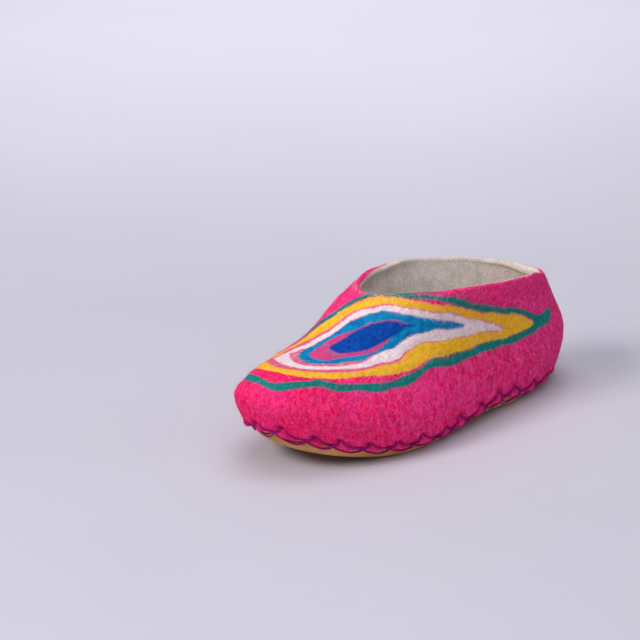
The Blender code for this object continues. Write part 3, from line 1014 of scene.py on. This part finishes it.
LAY_RADIUS = 90 * MM  # of the circle that the lay of the wool is wound on
LAY_DRAWN = 0.38  # heights are shortened by this there, which draws the grain out up the sides
LINING_HEIGHT = 120 * MM  # that the lay runs on by, from the collar down the inside


def by_angle(values, angle):
    """A smooth closed curve through values that are evenly spaced round the slipper."""
    values = np.array(values, float)
    at = angle / (2 * np.pi) * len(values)
    k = at.astype(int)
    before, here, after, beyond = (values[(k + n) % len(values)] for n in (-1, 0, 1, 2))
    return hermite(at - k, here, after, (after - before) / 2, (beyond - here) / 2)


def leather_edge(angle):
    """The place of the leather's top edge on each rib."""
    along = skin(angle, [USUAL_TOP])[0][:, 1] / LENGTH + 0.5
    shares, tops = zip(*LEATHER_TOP)
    return smooth_table(along, shares, tops)


def rounded_edge(start, end, bulge, steps):
    """Rows round the edge of a sheet, from one face's last row to the other's."""
    turns = np.arange(1, steps) * math.pi / steps
    return np.array([start + (end - start) / 2 * (1 - math.cos(t)) + bulge * math.sin(t) for t in turns])


Sizes = namedtuple("Sizes", "round_steps rim_height lumps reach pucker")


@lru_cache(maxsize=1)
def shell_at(sizes):
    """The shell at these sizes, worked out once for all the pieces."""
    return Shell(sizes)


def shell_of(scene):
    """The shell at the sizes set in the scene."""
    form, stitching = scene.slipper_form, scene.slipper_stitching
    sizes = Sizes(form.round_steps, form.rim_height, form.lumps, stitching.reach, stitching.pucker)
    return shell_at(sizes)


class Shell:
    """The felt's outer rows, with the pull of the stitches, the lumps and the rings."""

    def __init__(self, sizes):
        self.angle = all_round(sizes.round_steps)
        last = skin(self.angle, [COLLAR - RIB_END, COLLAR])
        rise = last[1] - last[0]
        self.rib_end = unit(rise)
        end = COLLAR - sizes.rim_height / (np.linalg.norm(rise, axis=-1) / RIB_END)
        self.top = leather_edge(self.angle)
        self.places = self.row_places(end)
        self.base = skin(self.angle, self.places)
        self.base_normals = outward_normals(self.base)
        self.edge = StitchedEdge(self.angle, self.base, self.places, self.top, sizes.reach)
        self.rings = ring_distances(self.base)
        self.rows = self.base + self.base_normals * self.moved_out(sizes)[..., None]
        self.rows[..., 2] += self.collar_rise()
        self.normals = outward_normals(self.rows)

    def row_places(self, end):
        """Each row's place on each rib: close together where the felt puckers."""
        rows = [-1 + k / BOTTOM_ROWS for k in range(BOTTOM_ROWS)]
        rows += [self.top * k / WRAPPED_ROWS for k in range(WRAPPED_ROWS)]
        for k in range(PUCKERED_ROWS):
            rows.append(self.top + PUCKERED_SPAN * (k / PUCKERED_ROWS) ** PUCKERED_PACKING)
        low = self.top + PUCKERED_SPAN
        rows += [low + (1 - low) * k / SPAN_ROWS[0] for k in range(SPAN_ROWS[0])]
        for span in (1, 2):
            rows += [span + k / SPAN_ROWS[span] for k in range(SPAN_ROWS[span])]
        rows += [3 + (end - 3) * k / SPAN_ROWS[3] for k in range(SPAN_ROWS[3] + 1)]
        return np.array([np.broadcast_to(row, self.angle.shape) for row in rows])

    def moved_out(self, sizes):
        """How far each point lies outside the plain form."""
        lumps = unevenness(self.base, 40 * MM, 1) + 0.5 * unevenness(self.base, 15 * MM, 2)
        lumps = (lumps + 0.25 * unevenness(self.base, 6 * MM, 7)) * sizes.lumps
        lumps = lumps * smooth_step(self.edge.height, 0.5 * MM, 5 * MM)
        seams = sum(bump_at(self.rings[name], SEAM.width) for name in SEAMED_RINGS)
        shoulder = by_angle(SHOULDER, self.angle) * MM
        shoulder = shoulder * bump_at(self.places - SHOULDER_AT, SHOULDER_SPAN)
        shoulder = shoulder * (1 - smooth_step(self.places, 3.6, 4.0))
        return lumps + shoulder + self.edge.pull(sizes.pucker) - SEAM.depth * seams

    def collar_rise(self):
        """How far the felt is drawn up or down towards the collar's edge."""
        wave = by_angle(COLLAR_RISE, self.angle)
        wave = wave + 0.2 * np.sin(11 * self.angle) + 0.12 * np.sin(17 * self.angle + 1)
        return wave * MM * smooth_step(self.places, 2.9, 4.0)


def rim_rows(shell, form):
    """Rows over the collar's rounded edge, from outside to inside, and the felt's thickness."""
    end, normal = shell.rows[-1], shell.normals[-1]
    wall = by_angle(COLLAR_WALL, shell.angle) * MM * (1 + 0.08 * unevenness(end, 12 * MM, 9))
    wall = wall[:, None]
    tall = form.rim_height * (1 + 0.12 * unevenness(end, 9 * MM, 10))[:, None]
    far_side = end - normal * wall * RIM_THINNED
    return rounded_edge(end, far_side, shell.rib_end * tall, RIM_ROWS + 1), wall


def lining_rows(shell, form, wall):
    """Rows down the inside, from the collar to the bottom's middle line."""
    plain_below = BOTTOM_ROWS + WRAPPED_ROWS + PUCKERED_ROWS
    chosen = [
        *range(len(shell.rows) - 1, plain_below, -2),
        *range(plain_below, BOTTOM_ROWS, -4),
        *range(BOTTOM_ROWS, -1, -1),
    ]
    rows = []
    for n in chosen:
        place = shell.places[n][:, None]
        under_rim = shell.places[-1][:, None] - place
        down = smooth_step(place, 2.6, 4.0)
        thick = form.wall * (1 - down) + wall * down
        thick = thick * (1 - (1 - RIM_THINNED) * (1 - smooth_step(under_rim, 0, 1.0)))
        outside = shell.base[n]
        lump = 0
        if n > plain_below:
            outside = shell.rows[n]
            lump = unevenness(outside, 16 * MM, 11)[:, None] * 0.35 * MM * smooth_step(under_rim, 0, 0.2)
        high = smooth_step(place, 3.3, 4.0)
        normal = shell.base_normals[n] * (1 - high) + shell.normals[n] * high
        rows.append(outside - unit(normal) * (thick + lump))
    return np.array(rows)


def felt_marks(shell, rows, rim_count):
    """What the felt's material reads on its points: undyed wool, rings, dents painted darker as shade,
    and lay.
    """
    beyond = len(rows) - len(shell.rows)
    count = len(shell.angle)

    def carried_on(values):
        """Values on the outer rows, with the last row's for the rim and the lining."""
        return np.concatenate([values, np.repeat(values[-1:], beyond, axis=0)])

    over_rim = np.full((beyond, count), 2.0)
    over_rim[:rim_count] = np.arange(1, rim_count + 1)[:, None] / (rim_count + 1)
    under_rim = (shell.places - shell.places[-1]) / PALE_SPAN
    past_edge = np.concatenate([under_rim, over_rim])
    rise = carried_on(shell.edge.height)
    rise[-beyond:] += np.linspace(0, LINING_HEIGHT, beyond)[:, None]
    round_it = np.stack([np.cos(shell.angle), np.sin(shell.angle)], axis=-1) * LAY_RADIUS
    round_it = np.broadcast_to(round_it, (*rise.shape, 2))
    return {
        "lining": smooth_step(past_edge - by_angle(PALE_FROM, shell.angle), 0, PALE_FADE),
        "back": np.clip(rows[..., 1] / LENGTH + 0.5, 0, 1),
        **{name: carried_on(distance) for name, distance in shell.rings.items()},
        "pressed": np.concatenate([np.minimum(shell.edge.pressed, 1), np.zeros((beyond, count))]),
        "lay": np.concatenate([round_it, rise[..., None] * LAY_DRAWN], axis=-1),
    }


class SLIPPER_OT_felt_shell(bpy.types.Operator):
    """Make the felted shell: wall, bottom and collar in one"""

    bl_idname = "slipper.felt_shell"
    bl_label = "Felt Shell"

    def execute(self, context):
        form = context.scene.slipper_form
        shell = shell_of(context.scene)
        rim, wall = rim_rows(shell, form)
        rows = np.concatenate([shell.rows, rim, lining_rows(shell, form, wall)])
        piece = grid_mesh("felt_shell", rows, felt_marks(shell, rows, len(rim)))
        settle(piece, felt_material(context.scene.slipper_colours), "pink_felt", "upper")
        return {"FINISHED"}


# ---------------------------------------------------------------- insole
INSOLE_STEPS = 288
INSOLE_ROWS = 20
JUST_UNDER = -1e-6  # the place of its last row, which is still the bottom's
INSOLE_BULGE = 0.3  # of its edge, as a share of its thickness
FOOT_PRESSED = 0.6 * MM
FOOT_WIDTH = 26 * MM
FOOT_PRINTS = ((75 * MM, 30 * MM), (-30 * MM, 34 * MM))  # heel and ball: place along Y, and spread


class SLIPPER_OT_insole(bpy.types.Operator):
    """Make the felt insole that lies inside"""

    bl_idname = "slipper.insole"
    bl_label = "Insole"

    def execute(self, context):
        form = context.scene.slipper_form
        places = [-1 + step / INSOLE_ROWS for step in range(INSOLE_ROWS)]
        sheet = skin(all_round(INSOLE_STEPS), [*places, JUST_UNDER])
        middle = (0, (FELT_LINES[0].toe + FELT_LINES[0].heel) / 2 * MM)
        sheet[..., :2] = (sheet[..., :2] - middle) * INSOLE_SHARE + middle
        across, along = sheet[..., 0], sheet[..., 1]
        sheet[..., 2] = underside(along) + FELT_LINES[0].z_toe * MM
        slope = underside_slope(along)
        up = unit(np.stack([np.zeros_like(slope), -slope, np.ones_like(slope)], axis=-1))
        low = sheet + up * (form.wall + GAP)
        dent = unevenness(sheet, 30 * MM, 12) * 0.4 * MM + unevenness(sheet, 9 * MM, 13) * 0.15 * MM
        foot = sum(bump_at(along - place, spread) for place, spread in FOOT_PRINTS)
        pressed = FOOT_PRESSED * foot * bump_at(across, FOOT_WIDTH)
        high = low + up * (form.insole - pressed + dent)[..., None]
        outward = np.roll(sheet[-1], -1, axis=0) - np.roll(sheet[-1], 1, axis=0)
        outward = unit(np.cross(outward, up[-1]))
        edge = rounded_edge(low[-1], high[-1], outward * form.insole * INSOLE_BULGE, 8)
        piece = grid_mesh("felt_insole", np.concatenate([low, edge, high[::-1]]))
        settle(piece, insole_material(context.scene.slipper_colours), "cream_felt", "insole")
        return {"FINISHED"}


# ---------------------------------------------------------------- leather
# The leather's rows: -1 on the middle line, 0 on the floor line and 1 at its pared edge.
LEATHER_SHARES = np.concatenate([np.linspace(-1, -0.125, 8), np.linspace(0, 1, 23)])
LEATHER_BULGE = 0.45  # of its edge, as a share of its thickness there
LEATHER_PEAKS = 0.010  # of a place: how far the edge is drawn up at each crossing
LEATHER_WAVER = 0.006  # of a place: how unevenly it is cut
UNDER_SHADE_FROM, UNDER_SHADE_FULL = 0.90, 0.98  # of the way to facing straight down, where the underside is painted darker as shade
WORN_HEIGHT = 1.6 * MM
WORN_FADE = 1.4 * MM


class SLIPPER_OT_outsole(bpy.types.Operator):
    """Make the leather outsole, wrapped up round the felt's bottom edge"""

    bl_idname = "slipper.outsole"
    bl_label = "Leather Outsole"

    def execute(self, context):
        form = context.scene.slipper_form
        shell = shell_of(context.scene)
        edge = shell.edge
        nearest = np.abs([edge.off_crossing(k, edge.round_it) for k in range(edge.count)]).min(axis=0)
        top = shell.top + LEATHER_PEAKS * bump_at(nearest, 3 * MM)
        top = top + LEATHER_WAVER * unevenness(shell.base[BOTTOM_ROWS], 12 * MM, 14)
        places = np.array([share + 0 * top if share < 0 else top * share for share in LEATHER_SHARES])
        base = skin(shell.angle, places)
        normals = outward_normals(base)
        rise = np.linalg.norm(np.diff(base, axis=0), axis=-1)
        to_edge = np.concatenate([np.cumsum(rise[::-1], axis=0)[::-1], np.zeros((1, len(top)))])
        sunk = GAP - drawn_in(-to_edge)
        creep = unevenness(base, 13 * MM, 15) * 0.2 * MM * smooth_step(-to_edge, -7 * MM, -1 * MM)
        creep = np.maximum(creep, -0.1 * MM)
        thickness = leather_thickness(form, np.maximum(LEATHER_SHARES, 0))[:, None]
        outer = base + normals * (sunk + thickness + creep)[..., None]
        inner = base + normals * sunk[..., None]
        bulge = unit(outer[-1] - outer[-3]) * LEATHER_SKIVED * LEATHER_BULGE
        rows = np.concatenate([outer, rounded_edge(outer[-1], inner[-1], bulge, 7), inner[::-2]])
        beyond = (len(rows) - len(outer), len(top))
        # Faces turned to the floor get the rough side's colour, darker as painted shade.
        rough_and_shaded = smooth_step(-normals[..., 2], UNDER_SHADE_FROM, UNDER_SHADE_FULL)
        worn = smooth_step(WORN_HEIGHT - outer[..., 2], 0, WORN_FADE)
        marks = {
            "edge": np.concatenate([smooth_step(-to_edge, -6 * MM, 0) ** 3, np.ones(beyond)]),
            "under": np.concatenate([rough_and_shaded, np.ones(beyond)]),
            "worn": np.concatenate([worn, np.zeros(beyond)]),
        }
        piece = grid_mesh("leather_outsole", rows, marks)
        settle(piece, leather_material(context.scene.slipper_colours), "tan_leather", "outsole")
        return {"FINISHED"}


# ---------------------------------------------------------------- stitching
ARM_POINTS = 18  # on a strand, from a hole to its crossing
BOW_POINTS = 28  # and from one crossing to the next
YARN_SIDES = 12
YARN_PLIES = 3
YARN_TWIST = 4.2 * MM  # length in which one ply moves on to the next one's place

# Of each strand of a stitch, as shares of the doubled thread's thickness.
STRAND_WIDTH = 0.62
STRAND_OFF_MIDDLE = 0.34  # how far it lies to its side of the stitch
STRAND_SPREAD = 0.30  # how much further half way between two crossings
STRAND_OVER_FELT = 0.25
STRAND_OVER_LEATHER = 0.3
STRAND_OVER_OTHER = 0.6  # where it passes over the stitch before it

HOLE_DEPTH = 1.8 * MM  # how far a strand's ends go down into the felt


def strand_path(edge, k, sag):
    """One strand as (round, above): from its hole behind crossing k to its hole ahead of the next."""
    behind, _ = edge.arms(k)
    _, ahead = edge.arms(k + 1)
    start, end = edge.crossing(k), edge.crossing(k + 1)
    level = CROSSING_HEIGHT

    def arm(crossing, hole, shares):
        return [(crossing + hole[0] * s, level + (hole[1] - level) * s) for s in shares]

    bow = np.linspace(0, 1, BOW_POINTS)
    along = start + (end - start) * (bow + 0.06 * np.sin(2 * np.pi * bow))
    above = level - (4 * bow * (1 - bow)) ** 0.75 * (sag + level)
    first = arm(start, behind, np.linspace(1, 0.1, ARM_POINTS))
    last = arm(end, ahead, np.linspace(0.1, 1, ARM_POINTS))
    return np.array([*first, *zip(along, above), *last])


def strand(shell, k, side, thread, sag):
    """The points that one strand of a stitch runs through, and which way is outwards at each."""
    edge = shell.edge
    spots = strand_path(edge, k, sag)
    run = unit(np.gradient(spots, axis=0))
    from_end = np.minimum(np.arange(len(spots)), np.arange(len(spots))[::-1])
    apart = thread * (STRAND_OFF_MIDDLE + STRAND_SPREAD * smooth_step(from_end, 16, 30))
    apart = apart * smooth_step(from_end, 0, 4)
    spots = spots + side * apart[:, None] * run[:, ::-1] * (-1, 1)
    along, above = spots[:, 0], spots[:, 1]
    plain = edge.on(shell.base, along, above)
    facing = unit(edge.on(shell.base_normals, along, above))
    on_felt = ((edge.on(shell.rows, along, above) - plain) * facing).sum(axis=-1)
    on_felt = on_felt + STRAND_OVER_FELT * thread
    on_leather = GAP + LEATHER_SKIVED - drawn_in(above) + STRAND_OVER_LEATHER * thread
    on_leather = on_leather - 2 * np.maximum(above - 0.6 * MM, 0)
    lift = np.maximum(on_felt, on_leather)
    lift = np.convolve(np.pad(lift, 2, mode="edge"), np.ones(5) / 5, mode="valid")
    lift = lift + STRAND_OVER_OTHER * thread * bump_at(along - edge.crossing(k + 1), 2.6 * MM)
    lift = lift - HOLE_DEPTH * (1 - smooth_step(from_end, 0, 2.4))
    return plain + facing * lift[:, None], facing


def yarn(path, facing, width):
    """Rings of points of a plied yarn along a path, and how deep each lies between plies, as painted
    shade.
    """
    run = unit(np.gradient(path, axis=0))
    up = unit(facing - run * (facing * run).sum(axis=-1, keepdims=True))
    across = np.cross(run, up)
    gone = np.concatenate([[0], np.cumsum(np.linalg.norm(np.diff(path, axis=0), axis=-1))])
    turn = all_round(YARN_SIDES)
    twisted = turn[None] - 2 * np.pi * gone[:, None] / (YARN_TWIST * YARN_PLIES)
    lobe = np.abs(np.sin(YARN_PLIES / 2 * twisted))
    taper = smooth_step(np.minimum(gone, gone[-1] - gone), -0.4 * MM, 0.8 * MM)
    radius = width / 2 * (0.78 + 0.26 * lobe) * taper[:, None]
    round_it = up[:, None] * np.cos(turn)[:, None] + across[:, None] * np.sin(turn)[:, None]
    return path[:, None] + radius[..., None] * round_it, 1 - smooth_step(lobe, 0.05, 0.6)


class SLIPPER_OT_stitching(bpy.types.Operator):
    """Make the cross-stitching that holds the leather to the felt"""

    bl_idname = "slipper.stitching"
    bl_label = "Cross-stitching"

    def execute(self, context):
        stitching = context.scene.slipper_stitching
        shell = shell_of(context.scene)
        chance = np.random.default_rng(5)
        points, faces, ply_shades = [], [], []
        for k in range(shell.edge.count):
            for side in (-1, 1):
                sag = stitching.sag * chance.uniform(0.75, 1.25)
                width = STRAND_WIDTH * stitching.thread * chance.uniform(0.9, 1.1)
                path, facing = strand(shell, k, side, stitching.thread, sag)
                rings, ply_shade = yarn(path, facing, width)
                index = np.arange(len(path) * YARN_SIDES).reshape(-1, YARN_SIDES)
                index = index + len(points) * index.size
                onward = np.roll(index, -1, axis=1)
                around = np.stack([index[:-1], index[1:], onward[1:], onward[:-1]], axis=-1)
                faces += around.reshape(-1, 4).tolist()
                faces += [index[0].tolist(), index[-1][::-1].tolist()]
                points.append(rings.reshape(-1, 3))
                ply_shades.append(ply_shade.reshape(-1, 1))
        marks = {"ply_shade": np.concatenate(ply_shades)}
        piece = mesh_object("cross_stitching", np.concatenate(points), faces, marks)
        settle(piece, thread_material(context.scene.slipper_colours), "pink_felt")
        return {"FINISHED"}


# ---------------------------------------------------------------- loose fibres
FIBRE_COUNT = 13000
FIBRE_CUTS = 5  # pairs of points along a fibre
RIM_FIBRES = 9  # how many times more there are at the collar's edge than elsewhere
PALE_TINT = np.array((0.30, 0.14, 0.22))  # that the lightest fibres gain


def band_tints(shell, colours):
    """The dye at each point of the shell's rows."""
    tints = np.broadcast_to(np.array(colours.pink), shell.rows.shape).copy()
    for name, dye in (
        ("teal", colours.teal),
        ("teal_inner", colours.pink),
        ("yellow", colours.yellow),
        ("pale_line", colours.pink),
        ("pale", colours.pale),
        ("turquoise", colours.turquoise),
        ("core", colours.pink),
        ("blue", colours.blue),
        ("dot", colours.blue),
    ):
        tints[shell.rings[name] > 0] = tuple(dye)
    return tints


class SLIPPER_OT_loose_fibres(bpy.types.Operator):
    """Make the loose wool fibres that stand off the felt"""

    bl_idname = "slipper.loose_fibres"
    bl_label = "Loose Fibres"

    def execute(self, context):
        colours = context.scene.slipper_colours
        shell = shell_of(context.scene)
        chance = np.random.default_rng(21)
        count = FIBRE_COUNT
        across = np.roll(shell.rows, -1, axis=1) - shell.rows
        rising = np.gradient(shell.rows, axis=0)
        area = np.linalg.norm(np.cross(across, rising), axis=-1)
        area[shell.edge.height < 1 * MM] = 0
        near_rim = smooth_step(shell.places, 3.82, 4.0) ** 2
        area = area * (1 + RIM_FIBRES * near_rim)
        tints = band_tints(shell, colours)
        rim_tint = np.array(lighter(colours.cream, 0.2))
        tints = tints + (rim_tint - tints) * (0.75 * near_rim[..., None])

        chosen = chance.choice(area.size, count, p=(area / area.sum()).ravel())
        row, column = np.unravel_index(chosen, area.shape)
        root = shell.rows[row, column] + across[row, column] * chance.random((count, 1))
        root = root + rising[row, column] * (chance.random((count, 1)) - 0.5)
        facing = shell.normals[row, column]
        up_rib = unit(rising[row, column])
        bearing = chance.normal(0, 0.9, count)[:, None] + np.pi * chance.integers(0, 2, (count, 1))
        ahead = up_rib * np.cos(bearing) + np.cross(facing, up_rib) * np.sin(bearing)
        sideways = np.cross(facing, ahead)
        reach = chance.uniform(1.5, 5.0, (count, 1)) * MM
        curl = chance.normal(0, 0.35, (count, 1))
        stand = chance.exponential(0.10, (count, 1)) + 0.02
        width = chance.uniform(0.07, 0.13, (count, 1)) * MM
        pale = chance.random((count, 1))
        tint = tints[row, column]
        tint = tint * (1 + 0.5 * pale) + tint[:, :1] * PALE_TINT * pale**4
        tint = np.minimum(tint * chance.uniform(0.6, 1.2, (count, 1)), 0.95)

        points = []
        for s in np.linspace(0, 1, FIBRE_CUTS):
            spine = root + ahead * reach * s + sideways * reach * curl * s * s
            height = reach * stand * (s * 1.6 - s * s * 0.5) - reach**2 * s * s * 6 + 0.05 * MM
            spine = spine + facing * height
            half = (sideways * 0.8 + facing * 0.6) * width / 2 * (1 - 0.6 * s)
            points += [spine - half, spine + half]
        points = np.stack(points, axis=1).reshape(-1, 3)
        first = np.arange(count)[:, None] * (2 * FIBRE_CUTS)
        corners = [np.array([0, 1, 3, 2]) + 2 * n for n in range(FIBRE_CUTS - 1)]
        faces = np.concatenate([first + quad for quad in corners]).tolist()
        marks = {"tint": np.repeat(tint, 2 * FIBRE_CUTS, axis=0)}
        settle(mesh_object("loose_fibres", points, faces, marks), fibre_material(), "pink_felt")
        return {"FINISHED"}


# ---------------------------------------------------------------- stage
LAMPS = (  # name, size, power in watts, and place: sideways, forwards and up from the slipper
    ("key", 1.0, 46, (-2.2, 1.6, 2.2)),
    ("near_key", 0.6, 9, (-1.2, 1.3, 1.3)),
    ("top", 1.6, 16, (0, 0, 2.2)),
    ("fill", 1.6, 2.2, (1.7, 1.0, 1.0)),
    ("front", 1.2, 8, (0.4, 1.8, 2.0)),
)
POOLS = (  # name, spread in degrees, power in watts, and place, over the floor behind
    ("wide_pool", 75, 53, (-0.15, -1.35, 1.6)),
    ("near_pool", 90, 10, (0, -1.0, 1.3)),
)
POOL_SOFTNESS = 0.15
LIT_POINT = Vector((0, 0, 0.04))
FLOOR_HALF = 9.0
SKY_COLOUR = (0.92, 0.96, 1.15, 1)
SKY_STRENGTH = 0.24

VIEW_AZIMUTH = math.radians(42)
VIEW_ELEVATION = math.radians(19)
VIEW_MIDDLE = Vector((0, 0, 0.0327))
VIEW_DISTANCE = 1.9
VIEW_LENS = 180.3
AIM_LEFT, AIM_UP = 0.0276, 0.0142  # how far the aim is off the middle, as a share of the distance


def place_lamp(name, lamp, power, place):
    """Put a lamp into the scene, and return the object that holds it."""
    lamp.energy = power
    holder = bpy.data.objects.new(name, lamp)
    holder.location = place
    bpy.context.scene.collection.objects.link(holder)
    return holder


def area_light(name, size, power, place):
    """A square soft light, aimed at the slipper."""
    lamp = bpy.data.lights.new(name, "AREA")
    lamp.size = size
    holder = place_lamp(name, lamp, power, place)
    holder.rotation_euler = (LIT_POINT - Vector(place)).to_track_quat("-Z", "Y").to_euler()


def pool_of_light(name, spread, power, place):
    """A soft round pool of light on the floor, from straight above it."""
    lamp = bpy.data.lights.new(name, "SPOT")
    lamp.spot_size = math.radians(spread)
    lamp.spot_blend = 1.0
    lamp.shadow_soft_size = POOL_SOFTNESS
    place_lamp(name, lamp, power, place)


class SLIPPER_OT_stage(bpy.types.Operator):
    """Make the floor, the lights and the camera"""

    bl_idname = "slipper.stage"
    bl_label = "Stage"

    def execute(self, context):
        scene = context.scene
        corners = np.array([(-1, -1, 0), (1, -1, 0), (1, 1, 0), (-1, 1, 0)]) * FLOOR_HALF
        floor = mesh_object("floor", corners, [(0, 1, 2, 3)], {})
        floor.data.materials.append(floor_material(scene.slipper_colours))

        right = Vector((math.cos(VIEW_AZIMUTH), math.sin(VIEW_AZIMUTH), 0))
        towards = Vector((math.sin(VIEW_AZIMUTH), -math.cos(VIEW_AZIMUTH), 0))
        back = Vector((
            math.sin(VIEW_AZIMUTH) * math.cos(VIEW_ELEVATION),
            -math.cos(VIEW_AZIMUTH) * math.cos(VIEW_ELEVATION),
            math.sin(VIEW_ELEVATION),
        ))
        up = back.cross(right)
        camera_data = bpy.data.cameras.new("camera")
        camera_data.lens = VIEW_LENS
        camera_data.clip_start = 0.05
        camera = bpy.data.objects.new("camera", camera_data)
        camera.location = VIEW_MIDDLE + back * VIEW_DISTANCE
        aim = -back - right * AIM_LEFT + up * AIM_UP
        camera.rotation_euler = aim.to_track_quat("-Z", "Y").to_euler()
        scene.collection.objects.link(camera)
        scene.camera = camera

        for light, rows in ((area_light, LAMPS), (pool_of_light, POOLS)):
            for name, width, power, (sideways, forwards, height) in rows:
                place = right * sideways + towards * forwards + Vector((0, 0, height))
                light(name, width, power, place)

        world = bpy.data.worlds.new("soft_room")
        world.use_nodes = True
        sky = world.node_tree.nodes["Background"]
        sky.inputs["Color"].default_value = SKY_COLOUR
        sky.inputs["Strength"].default_value = SKY_STRENGTH
        scene.world = world
        scene.view_settings.view_transform = "Standard"
        return {"FINISHED"}


class SLIPPER_PT_panel(bpy.types.Panel):
    """The slipper's pieces, in the order they are made"""

    bl_idname = "SLIPPER_PT_panel"
    bl_label = "Felted Slipper"
    bl_space_type = "VIEW_3D"
    bl_region_type = "UI"
    bl_category = "Slipper"

    def draw(self, context):
        for group in (
            context.scene.slipper_form,
            context.scene.slipper_stitching,
            context.scene.slipper_colours,
        ):
            box = self.layout.box()
            for name in group.bl_rna.properties.keys():
                if name not in ("rna_type", "name"):
                    box.prop(group, name)
        for operator in OPERATORS:
            self.layout.operator(operator.bl_idname)


GROUPS = {
    "slipper_form": SlipperForm,
    "slipper_stitching": SlipperStitching,
    "slipper_colours": SlipperColours,
}
OPERATORS = (
    SLIPPER_OT_stage,
    SLIPPER_OT_felt_shell,
    SLIPPER_OT_insole,
    SLIPPER_OT_outsole,
    SLIPPER_OT_stitching,
    SLIPPER_OT_loose_fibres,
)
CLASSES = (*GROUPS.values(), *OPERATORS, SLIPPER_PT_panel)


def register():
    for part in CLASSES:
        bpy.utils.register_class(part)
    for name, group in GROUPS.items():
        setattr(bpy.types.Scene, name, PointerProperty(type=group))


def unregister():
    for name in GROUPS:
        delattr(bpy.types.Scene, name)
    for part in reversed(CLASSES):
        bpy.utils.unregister_class(part)


def main():
    """Make every piece."""
    register()
    bpy.ops.slipper.stage()
    bpy.ops.slipper.felt_shell()
    bpy.ops.slipper.insole()
    bpy.ops.slipper.outsole()
    bpy.ops.slipper.stitching()
    bpy.ops.slipper.loose_fibres()


if __name__ == "__main__":
    main()
